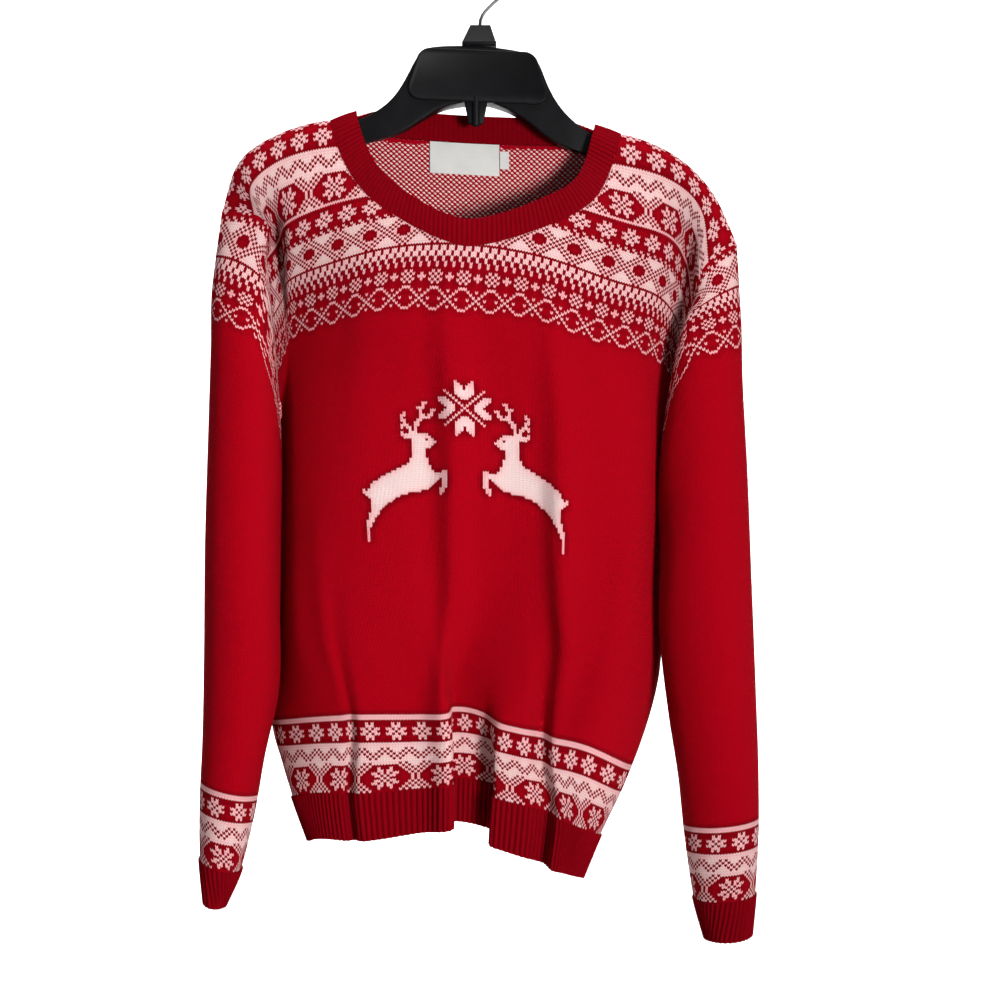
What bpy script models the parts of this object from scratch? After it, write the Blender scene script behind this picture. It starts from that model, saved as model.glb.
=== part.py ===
import math

import bmesh
import bpy
import numpy as np

for item in list(bpy.data.objects):
    bpy.data.objects.remove(item, do_unlink=True)

MM = 0.001

# Flat sizes of the knitted pieces, in millimetres.
PANEL_HALF = 277.0
PANEL_LENGTH = 622.0
HEM_RIB = 42.0
ARMHOLE = 210.0
# Neck opening: its drop below the shoulder seam, and how square its curve is.
NECK_FRONT = (136.0, 1.6)
NECK_BACK = (13.0, 4.6)
NECKBAND = 25.0
# How the neckband turns inwards beside the neck, in degrees, how late it does, and how it leans back.
NECKBAND_TURN = 70.0
NECKBAND_LATE = {"front": 2.4, "back": 2.6}
NECKBAND_LEAN = {"front": 0.16, "back": 0.04}
SHOULDER_BLEND = 30.0
WALL = 2.0
SEAM_GAP = 0.34
CORNER_CLEAR = 0.3

# Ribs: how many across half a panel, where the neck's corner falls, how many in a cuff's column.
RIBS_HALF = 55
NECK_RIBS = 26
CUFF_RIBS_EACH = 2
RIB_RISE = 1.3
NECK_RIB_PITCH = 4.5
NECK_RIB_RISE = 0.9
RIB_PITCH = PANEL_HALF / RIBS_HALF
NECK_HALF = NECK_RIBS * RIB_PITCH

# The front's wales that the section tables below follow, from its centre line, wearer's right first.
WALES = (-277, -230, -180, -130, -65, 0, 65, 130, 180, 230, 277)

# Hung form of the front. A row for each course: distance down from the shoulder seam, then one value
# for each wale. Across, forward (minus is the front) and up, from the hook's mount.
FRONT_ACROSS = (
    (0, -231.5, -216, -179, -133, -68, -3, 62, 127, 175, 210, 232),
    (17, -215, -210, -177, -133, -68, -3, 61, 126, 174, 204, 217),
    (35, -196, -200, -175, -132, -68, -4, 60, 126, 172, 197, 202),
    (77, -190, -181, -169, -130, -68, -5, 60, 127, 168, 187, 194),
    (130, -186, -177, -169, -132, -71, -10, 54, 117, 158, 178, 183),
    (180, -183, -176, -168, -132, -78, -16, 47, 105, 148, 171, 174),
    (278, -182, -177, -165, -130, -74, -13, 48, 105, 147, 166, 168),
    (380, -183, -179, -163, -128, -70, -13, 48, 101, 141, 162, 165),
    (480, -186, -181, -160, -122, -62, -13, 45, 90, 128, 158, 163.5),
    (567, -188, -179, -140, -107, -46, -13, 19, 61, 92, 128, 135),
    (622, -168, -165, -141, -108, -44, -14, 15, 66, 88, 107, 110),
    (664, -152, -152, -136, -104, -44, -15, 12, 61, 81, 92, 93),
)
FRONT_DEPTH = (
    (0, 0, 0, 0, 0, 0, 0, 0, 0, 0, 0, 0),
    (17, -9, -13, -12, -12, -12, -12, -12, -12, -12, -13, -9),
    (35, -14, -18, -16, -17, -20, -22, -20, -17, -16, -18, -15),
    (77, -12, 2, -24, -33, -36, -37, -36, -33, -24, 2, -12),
    (130, 1, 7, -10, -30, -44, -46, -44, -36, -22, 5, 2),
    (180, 11, 11, 6, -24, -50, -50, -50, -36, -15, 8, 12),
    (278, 22, 14, -10, -38, -52, -49, -51, -44, -24, 10, 22),
    (380, 24, 12, -20, -46, -55, -42, -50, -48, -32, 6, 25),
    (480, 26, 8, -30, -50, -57, -34, -50, -52, -40, 0, 26),
    (567, 26, 2, -38, -50, -56, -29, -57, -45, -46, -4, 26),
    (622, 16, -16, -38, -48, -54, -29, -56, -50, -46, -18, 16),
    (664, 14, -12, -34, -44, -50, -27, -52, -46, -40, -14, 14),
)
FRONT_UP = (
    (0, -218, -173, -147, -135, -140, -144, -146, -147, -166, -200, -246),
    (17, -220, -184, -158, -147, -153, -158, -162.5, -161.5, -177, -210, -255.5),
    (35, -225, -201, -179, -168, -170, -172, -179, -184, -198, -224, -270),
    (77, -258, -245, -231, -216, -205, -202, -212, -231, -243, -264, -302),
    (130, -308, -290, -276, -264, -251, -249, -259, -279, -291, -309, -337),
    (180, -356, -336, -322, -313, -302, -304, -310, -329, -338, -352, -367),
    (278, -443, -431, -417, -403, -396, -396, -400, -416, -431, -444, -453),
    (380, -532, -521, -507, -497, -493, -494, -498, -513, -527, -540, -549),
    (480, -620, -611, -600, -592, -588, -590, -596, -607, -619, -634, -642),
    (567, -690, -689, -682, -679, -678, -674, -687, -699, -708, -729, -731),
    (622, -744, -741, -735, -734, -728, -723, -737, -752, -764, -775, -779),
    (664, -786, -781, -776, -776, -767, -762, -780, -798, -807, -814, -819),
)

# The back shares its first course and its two edges with the front, so its rows hold the inner wales.
BACK_ACROSS = (
    (0, -216, -179, -133, -68, -3, 62, 127, 175, 209),
    (17, -210, -178, -133, -68, -3, 61, 126, 174, 205),
    (35, -203, -176, -132, -68, -3, 61, 126, 173, 200),
    (77, -190, -172, -130, -66, -2, 62, 127, 169, 190),
    (130, -183, -168, -129, -68, -4, 60, 120, 160, 178),
    (180, -178, -164, -127, -69, -5, 57, 113, 152, 168),
    (278, -174, -158, -122, -66, -6, 53, 107, 145, 160),
    (380, -172, -154, -117, -63, -6, 50, 102, 140, 156),
    (480, -172, -150, -111, -60, -7, 46, 95, 133, 153),
    (567, -170, -142, -103, -56, -9, 36, 80, 110, 126),
    (622, -158, -134, -98, -53, -12, 28, 65, 90, 104),
    (664, -146, -126, -92, -50, -14, 22, 54, 77, 89),
)
BACK_DEPTH = (
    (0, 0, 0, 0, 10, 12, 10, 0, 0, 0),
    (17, 11, 12, 12, 14, 15, 14, 12, 12, 11),
    (35, 16, 17, 18, 18, 17, 18, 18, 17, 16),
    (77, 22, 26, 28, 30, 30, 30, 28, 26, 22),
    (130, 28, 32, 37, 40, 40, 40, 37, 32, 28),
    (180, 32, 38, 45, 48, 48, 48, 45, 38, 32),
    (278, 38, 46, 55, 60, 61, 60, 55, 46, 38),
    (380, 41, 51, 61, 67, 68, 67, 61, 51, 41),
    (480, 44, 56, 67, 73, 74, 73, 67, 56, 44),
    (567, 46, 60, 70, 76, 77, 76, 70, 60, 46),
    (622, 42, 56, 66, 72, 74, 72, 66, 56, 42),
    (664, 36, 50, 60, 66, 68, 66, 60, 50, 36),
)
BACK_UP = (
    (0, -173, -147, -135, -140, -144, -146, -147, -166, -200),
    (17, -186, -159, -148, -153, -157, -159.5, -161.5, -178, -212),
    (35, -203, -175, -165, -170, -174, -177, -180, -195, -227),
    (77, -243, -218, -206, -210, -214, -218, -223, -236, -265),
    (130, -290, -270, -258, -261, -265, -269, -276, -289, -312),
    (180, -338, -319, -307, -309, -313, -317, -325, -338, -356),
    (278, -428, -412, -400, -401, -405, -410, -419, -434, -446),
    (380, -517, -503, -493, -494, -498, -504, -514, -530, -543),
    (480, -604, -591, -583, -584, -588, -595, -607, -624, -637),
    (567, -680, -670, -664, -664, -668, -676, -690, -708, -722),
    (622, -735, -727, -722, -720, -723, -732, -748, -764, -774),
    (664, -777, -770, -765, -761, -763, -774, -790, -805, -813),
)

# Folds that run down a panel: wale where each starts and ends, course where it starts, where it is
# full, length of cloth in its wall, and the wall's swing in degrees (plus turns away from the front).
FRONT_FOLDS = (
    # wale_top, wale_end, start, full, wall, swing
    (-26, -26, 190, 600, 28, 92),
    (44, 49, 490, 566, 30, -92),
    (84, 130, 250, 567, 17, 68),
    (101, 147, 250, 567, 17, -68),
    (-130, -139, 300, 567, 11, 62),
    (-119, -150, 300, 567, 11, -62),
)
BACK_FOLDS = (
    (-150, -160, 150, 600, 20, -52),
    (-130, -132, 150, 600, 22, 52),
    (-68, -62, 240, 600, 22, -58),
    (-46, -34, 240, 600, 22, 58),
    (24, 34, 180, 600, 20, -50),
    (46, 60, 180, 600, 20, 50),
    (104, 116, 260, 600, 22, -56),
    (126, 142, 260, 600, 22, 56),
)

# Armhole seams: distance down from the shoulder, then across, forward and up.
ARMHOLES = {
    ("front", -1): (
        (0, -231.5, 0, -218),
        (17.5, -214, -10, -219.5),
        (36, -196, -15, -224),
        (52, -187, -18, -235),
        (70, -189, -13, -254),
        (100, -188, -6, -281),
        (130, -186, 1, -308),
        (180, -183, 10, -356),
        (210, -182.5, 14, -383),
    ),
    ("front", 1): (
        (0, 232, 0, -246),
        (17.5, 217, -9, -254.5),
        (36, 201, -15, -269),
        (52, 196, -15, -282),
        (77, 191, -8, -303),
        (130, 183, 2, -337),
        (180, 176, 10, -367),
        (210, 172.5, 14.5, -391),
    ),
    ("back", -1): (
        (0, -231.5, 0, -218),
        (17.5, -218, 9, -223),
        (36, -205, 15, -235),
        (70, -195, 19, -261),
        (130, -187, 22, -312),
        (180, -183, 20, -357),
        (210, -182.5, 14, -383),
    ),
    ("back", 1): (
        (0, 232, 0, -246),
        (17.5, 220, 9, -252.5),
        (36, 206, 15, -266),
        (70, 195, 19, -294),
        (130, 184, 22, -336),
        (180, 177, 20, -368),
        (210, 172.5, 14.5, -391),
    ),
}

# Sleeves, a row for each ring below the armhole: distance down the sleeve, outer and inner edge
# across, front and back depth, height at the outer edge, fall towards the inner edge, further fall
# of the hidden underarm side, and depth of the groove along that side.
SLEEVES = {
    -1: (
        # down, outer, inner, front, back, up, fall, under, groove
        (60, -240, -188, -27, 36, -280, 26, 104, 6),
        (120, -241.5, -185, -38, 46, -341, 26, 92, 9),
        (200, -243.5, -185, -46, 50, -421, 24, 64, 12),
        (300, -245.4, -185, -54, 46, -521, 22, 35, 12),
        (400, -246, -185, -54, 42, -621, 18, 12, 10),
        (470, -247.5, -196, -50, 40, -691, 15, 0, 8),
        (530, -250.5, -205, -44, 40, -751, 13, 0, 5),
        (576, -250, -214, -38, 34, -797, 12, 0, 0),
        (618, -246, -228, -33, 29, -835, 6, 0, 0),
    ),
    1: (
        (60, 236, 185, -27, 36, -306, 24, 92, 6),
        (120, 237.5, 175, -38, 46, -368, 22, 84, 9),
        (200, 241.3, 170, -46, 50, -448, 18, 58, 12),
        (300, 244.4, 168.5, -54, 46, -548, 14, 32, 12),
        (400, 248, 175.5, -54, 42, -648, 10, 12, 10),
        (470, 250.5, 183, -50, 40, -718, 8, 0, 8),
        (530, 251, 187.5, -44, 40, -777, 6, 0, 5),
        (583, 248, 193, -38, 34, -829, 5, 0, 0),
        (625, 244.5, 203, -33, 29, -866, 4, 0, 0),
    ),
}
# Cloth round the sleeve at the armhole and at the cuff, and how much of the front half lies open.
SLEEVE_ROUND_TOP = 420.0
SLEEVE_ROUND_CUFF = 215.0
SLEEVE_OPEN_FACE = 78.0
# Share of the groove's depth by which the lobes beside it swell towards the body, and its width and
# place, in radians round the sleeve from its inner edge towards the back. The hidden underarm side
# starts falling at an angle from the outer edge.
LOBE_SHARE = 0.8
GROOVE_SPREAD = 0.38
GROOVE_BACK = 0.38
UNDERARM_FROM = 110.0
OPEN_FACE_SHARE = 0.6
# How evenly the cloth that doesn't lie open is taken up round the hidden side.
EVEN_SHARE = 0.6

# Where the courses and wales of the solids run. Front columns are counted in hem ribs.
SLEEVE_COLUMNS = 24
ARM_COURSES = SLEEVE_COLUMNS // 2
BODY_COURSES = 9
SIDE_COLUMNS = (26, 28, 30, 32, 35, 39, 43, 47, 51, 55)
FRONT_NECK_COLUMNS = (
    -25.87, -25, -24, -22, -19, -16, -12, -8, -6, -4, -2, 0, 3, 6, 8, 10, 12, 15, 18, 21, 24, 25, 25.87,
)
BACK_NECK_COLUMNS = (-25.87, -25, -22, -17, -13, -9, -5, 0, 5, 9, 13, 17, 22, 25, 25.87)
LEFT_SIDE = tuple(-rib for rib in reversed(SIDE_COLUMNS))
FRONT_COLUMNS = LEFT_SIDE + FRONT_NECK_COLUMNS + SIDE_COLUMNS
BACK_COLUMNS = LEFT_SIDE + BACK_NECK_COLUMNS + SIDE_COLUMNS
SLEEVE_SHARES = (
    0, 0.035, 0.07, 0.105, 0.155, 0.21, 0.28, 0.35, 0.43, 0.52, 0.61, 0.69, 0.76, 0.82, 0.87, 0.92,
    0.96, 1,
)

# Neck label and size tab on the inside of the back: wales and courses of their edges.
LABEL_WALES = (-44.0, 19.0)
LABEL_COURSES = (13.0, 41.0)
TAB_WALES = (19.8, 28.0)
TAB_COURSES = (20.0, 35.0)
LABEL_THICK = 0.6
LABEL_CLEAR = 0.7

# Hanger arms and bridge, a row for each station across: top, bottom and half depth.
HANGER_STATIONS = (
    # across, top, bottom, half depth, rounding
    (-213, -183.5, -198, 3.5, 2.5),
    (-204, -171, -199, 5, 4),
    (-190, -158.5, -192, 5, 4),
    (-172, -150, -183, 5, 4),
    (-150, -144.6, -174, 5, 4),
    (-128, -141, -165, 3.5, 2.8),
    (-104, -134, -156.5, 3.5, 2.5),
    (-85, -123, -152, 6, 2.2),
    (-75, -114.5, -149, 6, 2.2),
    (-66, -100, -145, 6, 2.2),
    (-59, -85, -140, 6, 2.2),
    (-54.5, -75.5, -137, 6, 2.2),
    (-49, -70.5, -133.5, 6, 2.2),
    (-39, -69.6, -127.5, 6, 2.2),
    (-27, -69, -122.5, 6, 2.2),
    (-13, -68.8, -120, 6, 2.2),
    (0, -69.3, -119, 6, 2.2),
    (13, -70.3, -121, 6, 2.2),
    (27, -72.2, -126.5, 6, 2.2),
    (41, -74.6, -135.5, 6, 2.2),
    (47.5, -76.5, -140.5, 6, 2.2),
    (54, -82.5, -145.5, 6, 2.2),
    (58, -95, -149, 6, 2.2),
    (62, -107.5, -152, 6, 2.2),
    (70.5, -123, -157.5, 6, 2.2),
    (82, -135.5, -162, 6, 2.2),
    (96, -146, -166.5, 3.5, 2.5),
    (110, -155, -173, 3.5, 2.8),
    (128, -157.5, -181, 3.5, 2.8),
    (150, -160.2, -189, 5, 4),
    (172, -168.8, -198, 5, 4),
    (188, -182.5, -206, 5, 4),
    (199, -195.5, -215, 5, 4),
    (207, -210, -224, 3.5, 2.5),
)
# Raised face plate: corners across and up, and its front and back in depth.
PLATE_CORNERS = (
    (-48, -72), (47, -77), (55.5, -98), (60, -112), (50, -123.5), (-3, -118), (-52, -117.5),
    (-64, -105), (-58, -88),
)
PLATE_DEPTHS = (-8.2, -4.0)
CAP_FOOT = (-14.8, 15.2, -68.4)
CAP_TOP = (-7.8, 10.2, -50.7)
CAP_HALF_DEPTHS = (7.5, 5.5)
PRONG_TOP = (-13.5, 8.0, -120.8)
PRONG_TIP = (-9.0, 4.0, -139.5)
PRONG_DEPTHS = (-5.6, -1.2)
HOOK_WIRE = 3.0
HOOK_RADIUS = 20.0
HOOK_SHANK = ((0.8, -50.4), (1.4, -44.5), (5.4, -37.5), (12.6, -30.2))
HOOK_TURN = (-12.0, 205.0)


def through(stations, values, at):
    # Smooth curve through the values at the stations, read at other places along them.
    stations = np.asarray(stations, float)
    values = np.asarray(values, float)
    at = np.asarray(at, float)
    slopes = np.gradient(values, stations, axis=0)
    low = np.clip(np.searchsorted(stations, at, side="right") - 1, 0, len(stations) - 2)
    span = stations[low + 1] - stations[low]
    part = np.clip((at - stations[low]) / span, 0, 1)
    shape = (len(at),) + (1,) * (values.ndim - 1)
    span = span.reshape(shape)
    part = part.reshape(shape)
    square = part * part
    cube = square * part
    return (
        (2 * cube - 3 * square + 1) * values[low]
        + (cube - 2 * square + part) * span * slopes[low]
        + (3 * square - 2 * cube) * values[low + 1]
        + (cube - square) * span * slopes[low + 1]
    )


def ease(value):
    # Smooth step from 0 to 1.
    value = np.clip(value, 0, 1)
    return value * value * (3 - 2 * value)


def sections(across, depth, up):
    # Courses and hung positions from the three tables of one panel.
    tables = [np.asarray(table, float) for table in (across, depth, up)]
    return tables[0][:, 0], np.stack([table[:, 1:] for table in tables], axis=-1)


def with_edges(inner, outer):
    # A back table with the edge wales of the front's table put round it.
    return tuple((row[0], edge[1]) + tuple(row[1:]) + (edge[-1],) for row, edge in zip(inner, outer))


FINE_WALES = np.arange(-PANEL_HALF, PANEL_HALF + 0.5, 1.0)
COURSE_STEP = 2.0
FINE_COURSES = np.arange(0.0, PANEL_LENGTH + HEM_RIB + 1.0, COURSE_STEP)


def fold_turns(folds):
    # Heading of the cloth, in radians away from straight across, at every fine course and wale.
    turn = np.zeros((len(FINE_COURSES), len(FINE_WALES)))
    for wale_top, wale_end, start, full, wall, swing in folds:
        grown = np.clip((FINE_COURSES - start) / (full - start), 0, 1)
        centre = wale_top + (wale_end - wale_top) * grown
        reach = np.abs(FINE_WALES[None, :] - centre[:, None]) / wall
        turn += math.radians(swing) * ease(grown)[:, None] * ease(1.5 - 2 * reach)
    return turn


def along_wales(rate):
    # Sum of a rate along each course, nought at the centre line.
    total = np.cumsum(rate, axis=1)
    return total - total[:, [len(FINE_WALES) // 2]]


def hang(tables, folds, edges):
    # Hung surface of a panel on the fine grid: sections, then folds, then its armhole edges.
    courses, places = sections(*tables)
    held = through(courses, places, FINE_COURSES)
    turn = fold_turns(folds)
    taken = along_wales(1 - np.cos(turn))
    pushed = along_wales(np.sin(turn))
    columns = [int(wale + PANEL_HALF) for wale in WALES]
    held[..., 0] += taken[:, columns]
    held[..., 1] -= pushed[:, columns]
    surface = through(WALES, held.transpose(1, 0, 2), FINE_WALES).transpose(1, 0, 2)
    surface[..., 0] -= taken
    surface[..., 1] += pushed
    last = -abs(WALES[1])
    for side in (-1, 1):
        seam = np.asarray(ARMHOLES[(edges, side)], float)
        arm = FINE_COURSES <= ARMHOLE
        edge = 0 if side < 0 else len(FINE_WALES) - 1
        goal = surface[:, edge].copy()
        goal[arm] = through(seam[:, 0], seam[:, 1:], FINE_COURSES[arm])
        pull = np.clip((side * FINE_WALES + last) / (PANEL_HALF + last), 0, 1)
        surface += pull[None, :, None] * (goal - surface[:, edge])[:, None, :]
    return surface


FRONT_TABLES = (FRONT_ACROSS, FRONT_DEPTH, FRONT_UP)
BACK_TABLES = tuple(
    with_edges(back, front)
    for back, front in zip((BACK_ACROSS, BACK_DEPTH, BACK_UP), FRONT_TABLES)
)
SURFACES = {
    "front": hang(FRONT_TABLES, FRONT_FOLDS, "front"),
    "back": hang(BACK_TABLES, BACK_FOLDS, "back"),
}

# Both panels meet along the same shoulder line, outside the neck.
shoulder = np.abs(FINE_WALES) >= NECK_HALF - 1
apart = SURFACES["front"][0] - SURFACES["back"][0]
near = np.clip(1 - FINE_COURSES / SHOULDER_BLEND, 0, 1)
SURFACES["back"] += near[:, None, None] * (apart * shoulder[:, None])[None]


def on_panel(panel, wales, courses):
    # Points of a panel at given wales and courses, in metres.
    surface = SURFACES[panel]
    column = np.asarray(wales, float) + PANEL_HALF
    row = np.asarray(courses, float) / COURSE_STEP
    left = np.clip(column.astype(int), 0, len(FINE_WALES) - 2)
    top = np.clip(row.astype(int), 0, len(FINE_COURSES) - 2)
    across = (column - left)[..., None]
    down = (row - top)[..., None]
    upper = surface[top, left] * (1 - across) + surface[top, left + 1] * across
    lower = surface[top + 1, left] * (1 - across) + surface[top + 1, left + 1] * across
    return (upper * (1 - down) + lower * down) * MM


def neck_course(wales, neck):
    # Course at which the neck opening ends, for each wale.
    drop, square = neck
    inside = np.clip(np.abs(wales) / NECK_HALF, 0, 1)
    return drop * (1 - inside ** square) ** (1 / square)


def panel_grid(panel, ribs, neck):
    # Outer points of a panel from the shoulder and neck down to the hem rib.
    wales = np.asarray(ribs, float) * RIB_PITCH
    arm = np.linspace(0, ARMHOLE, ARM_COURSES + 1)
    body = np.linspace(ARMHOLE, PANEL_LENGTH, BODY_COURSES + 1)[1:]
    courses = np.concatenate([arm, body])
    top = neck_course(wales, neck)
    down = top[None, :] + courses[:, None] * (1 - top[None, :] / PANEL_LENGTH)
    return on_panel(panel, np.broadcast_to(wales, down.shape), down)


def hem_grid(panel, ribs):
    # Outer points of the hem rib under a panel.
    wales = np.asarray(ribs, float) * RIB_PITCH
    courses = np.array([PANEL_LENGTH, PANEL_LENGTH + HEM_RIB])
    shape = (len(courses), len(wales))
    return on_panel(panel, np.broadcast_to(wales, shape), np.broadcast_to(courses[:, None], shape))


def sleeve_ring(row, side, shares):
    # One ring of a sleeve: place for each share of the way round, from the outer edge by the front.
    down, outer, inner, front, back, up, fall, under, groove = row
    angles = np.linspace(0, 2 * math.pi, 721)
    turned = np.where(angles > math.pi, 2 * math.pi - angles, angles)
    inward = (1 - np.cos(angles)) / 2
    reach = inner - side * groove * LOBE_SHARE
    across = outer + (reach - outer) * inward
    across += side * groove * np.exp(-((angles - math.pi - GROOVE_BACK) / GROOVE_SPREAD) ** 2)
    middle = (front + back) / 2
    depth = middle - (back - front) / 2 * np.sin(angles)
    hidden = ease((turned - math.radians(UNDERARM_FROM)) / math.radians(180 - UNDERARM_FROM))
    height = up - fall * inward - under * hidden
    points = np.stack([across, depth, height], axis=-1)
    level = points[:, :2]
    length = np.concatenate([[0], np.cumsum(np.linalg.norm(np.diff(level, axis=0), axis=1))])
    half = length[-1] / 2
    down_share = min(down / SLEEVES[side][-2][0], 1)
    cloth = (SLEEVE_ROUND_TOP + (SLEEVE_ROUND_CUFF - SLEEVE_ROUND_TOP) * down_share) / 2
    cloth = max(cloth, half)
    open_face = min(SLEEVE_OPEN_FACE, half * OPEN_FACE_SHARE)
    folded = np.minimum(shares, 1 - shares) * 2 * cloth
    beyond = np.clip((folded - open_face) / (cloth - open_face), 0, 1)
    lost = (cloth - half) * (EVEN_SHARE * beyond + (1 - EVEN_SHARE) * ease(beyond))
    along = folded - lost
    along = np.where(shares > 0.5, length[-1] - along, along)
    return np.stack([np.interp(along, length, points[:, axis]) for axis in range(3)], axis=-1)


def sleeve_seam(side, shares):
    # The armhole seam as the sleeve's first ring.
    courses = np.minimum(shares, 1 - shares) * 2 * ARMHOLE
    front = on_panel("front", np.full(len(shares), side * PANEL_HALF), courses)
    back = on_panel("back", np.full(len(shares), side * PANEL_HALF), courses)
    return np.where((shares > 0.5)[:, None], back, front)


def sleeve_rings(side, downs, columns):
    # Outer points of a sleeve or cuff: one ring for each distance down it.
    shares = np.arange(columns) / columns
    rows = SLEEVES[side]
    rings = [sleeve_seam(side, shares)]
    rings += [sleeve_ring(row, side, shares) * MM for row in rows]
    stations = [0.0] + [row[0] for row in rows]
    grid = through(stations, np.stack(rings), downs)
    return grid if side < 0 else grid[:, ::-1]


def neckband_grid(panel, ribs, neck):
    # Outer points of one length of the neckband, from its seam on the panel to its free edge.
    wales = np.asarray([rib for rib in ribs if abs(rib) <= NECK_RIBS], float) * RIB_PITCH
    seam = on_panel(panel, wales, neck_course(wales, neck))
    aside = wales / NECK_HALF
    tilt = np.radians(90 - NECKBAND_TURN * np.abs(aside) ** NECKBAND_LATE[panel])
    lean = NECKBAND_LEAN[panel] * (1 - np.abs(aside) ** 3)
    way = np.stack([-np.sign(aside) * np.cos(tilt), lean, np.sin(tilt)], axis=-1)
    way /= np.linalg.norm(way, axis=1)[:, None]
    return np.stack([seam + way * NECKBAND * MM, seam])


def face_normals(grid, ring):
    # Area normals of a grid's quads, rows by columns.
    right = np.roll(grid, -1, axis=1) if ring else grid[:, 1:]
    here = grid if ring else grid[:, :-1]
    first = right[1:] - here[:-1]
    second = here[1:] - right[:-1]
    return np.cross(second, first)


def key(point):
    return tuple(int(round(value * 1e6)) for value in point)


def gather_normals(pieces):
    # Normals shared by every piece that meets at a point, so the walls meet at their seams.
    shared = {}
    for grid, ring in pieces:
        quads = face_normals(grid, ring)
        rows, columns = grid.shape[:2]
        for row in range(rows - 1):
            for column in range(quads.shape[1]):
                after = (column + 1) % columns
                for place in ((row, column), (row, after), (row + 1, column), (row + 1, after)):
                    name = key(grid[place])
                    shared[name] = shared.get(name, np.zeros(3)) + quads[row, column]
    return shared


def point_normals(grid, shared):
    out = np.array([[shared[key(point)] for point in row] for row in grid])
    return out / np.linalg.norm(out, axis=2)[..., None]


def inset_edge(edge, inner, normals, ring):
    # Way into the piece across an edge line, level with the cloth.
    if ring:
        tangent = np.roll(edge, -1, axis=0) - np.roll(edge, 1, axis=0)
    else:
        tangent = np.gradient(edge, axis=0)
    way = np.cross(tangent, normals)
    way /= np.linalg.norm(way, axis=1)[:, None]
    side = np.sign(np.sum(way * (inner - edge), axis=1))
    return way * side[:, None]


def part_seams(grid, normals, ring, seams):
    # The grid with its seam edges drawn in by half the gap between pieces.
    moved = grid.copy()
    half = SEAM_GAP / 2 * MM
    if "top" in seams:
        moved[0] += half * inset_edge(grid[0], grid[1], normals[0], ring)
    if "bottom" in seams:
        moved[-1] += half * inset_edge(grid[-1], grid[-2], normals[-1], ring)
    if "sides" in seams:
        moved[:, 0] += half * inset_edge(grid[:, 0], grid[:, 1], normals[:, 0], False)
        moved[:, -1] += half * inset_edge(grid[:, -1], grid[:, -2], normals[:, -1], False)
        for row, within in ((0, 1), (-1, -2)):
            for column, beside in ((0, 1), (-1, -2)):
                inward = grid[within, beside] - grid[row, column]
                moved[row, column] += CORNER_CLEAR * MM * inward / np.linalg.norm(inward)
    return moved


def column_for_each_rib(grid, counts, ring):
    # The grid with each column split evenly into as many as it has ribs.
    lines = []
    for column, count in enumerate(counts):
        after = (column + 1) % grid.shape[1]
        for share in np.arange(count) / count:
            lines.append(grid[:, column] * (1 - share) + grid[:, after] * share)
    if not ring:
        lines.append(grid[:, -1])
    return np.stack(lines, axis=1)


def cloth(name, grid, shared, material, ring=False, seams=(), ribs=None, rise=0.0, wall=WALL):
    # Closed wall: outer points, with ribs if asked, over a plain inside one wall deeper.
    normals = point_normals(grid, shared)
    base = part_seams(grid, normals, ring, seams)
    if ribs:
        base = column_for_each_rib(base, ribs, ring)
        normals = column_for_each_rib(normals, ribs, ring)
    rows, columns = base.shape[:2]
    inner = base - normals * wall * MM
    spans = columns if ring else columns - 1
    each = 2 if ribs else 1
    outer_rows = []
    for row in range(rows):
        line = []
        for column in range(spans):
            after = (column + 1) % columns
            line.append(base[row, column])
            if ribs:
                crest = (base[row, column] + base[row, after]) / 2
                line.append(crest + normals[row, column] * rise * MM)
        if not ring:
            line.append(base[row, -1])
        outer_rows.append(line)
    mesh = bmesh.new()
    outer = [[mesh.verts.new(point) for point in line] for line in outer_rows]
    under = [[mesh.verts.new(point) for point in line] for line in inner]
    fine = len(outer[0])
    for row in range(rows - 1):
        for column in range(fine if ring else fine - 1):
            after = (column + 1) % fine
            mesh.faces.new(
                (outer[row][column], outer[row + 1][column], outer[row + 1][after], outer[row][after])
            )
        for column in range(spans):
            after = (column + 1) % columns
            mesh.faces.new(
                (under[row][after], under[row + 1][after], under[row + 1][column], under[row][column])
            )
    for row in (0, rows - 1):
        for column in range(spans):
            after = (column + 1) % columns
            loop = [outer[row][(each * column + place) % fine] for place in range(each + 1)]
            loop += [under[row][after], under[row][column]]
            mesh.faces.new(loop if row == 0 else loop[::-1])
    if not ring:
        for row in range(rows - 1):
            mesh.faces.new((outer[row + 1][0], outer[row][0], under[row][0], under[row + 1][0]))
            mesh.faces.new((outer[row][-1], outer[row + 1][-1], under[row + 1][-1], under[row][-1]))
    bmesh.ops.triangulate(mesh, faces=mesh.faces[:])
    bmesh.ops.recalc_face_normals(mesh, faces=mesh.faces[:])
    return finish(name, mesh, material)


def finish(name, mesh, material):
    data = bpy.data.meshes.new(name)
    mesh.to_mesh(data)
    mesh.free()
    piece = bpy.data.objects.new(name, data)
    piece.data.materials.append(material)
    bpy.context.scene.collection.objects.link(piece)
    return piece


def surface_material(name, colour, roughness, metallic=0.0):
    made = bpy.data.materials.new(name)
    made.use_nodes = True
    shader = made.node_tree.nodes["Principled BSDF"]
    shader.inputs["Base Color"].default_value = (*colour, 1)
    shader.inputs["Roughness"].default_value = roughness
    shader.inputs["Metallic"].default_value = metallic
    return made


KNIT = surface_material("red_knit", (0.48, 0.0, 0.012), 0.9)
WOVEN = surface_material("white_woven", (0.82, 0.8, 0.77), 0.8)
PLASTIC = surface_material("black_plastic", (0.012, 0.012, 0.014), 0.42)
WIRE = surface_material("dark_wire", (0.06, 0.06, 0.065), 0.35, 0.9)


def rib_counts(columns):
    return [int(round(after - before)) for before, after in zip(columns, columns[1:])]


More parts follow.
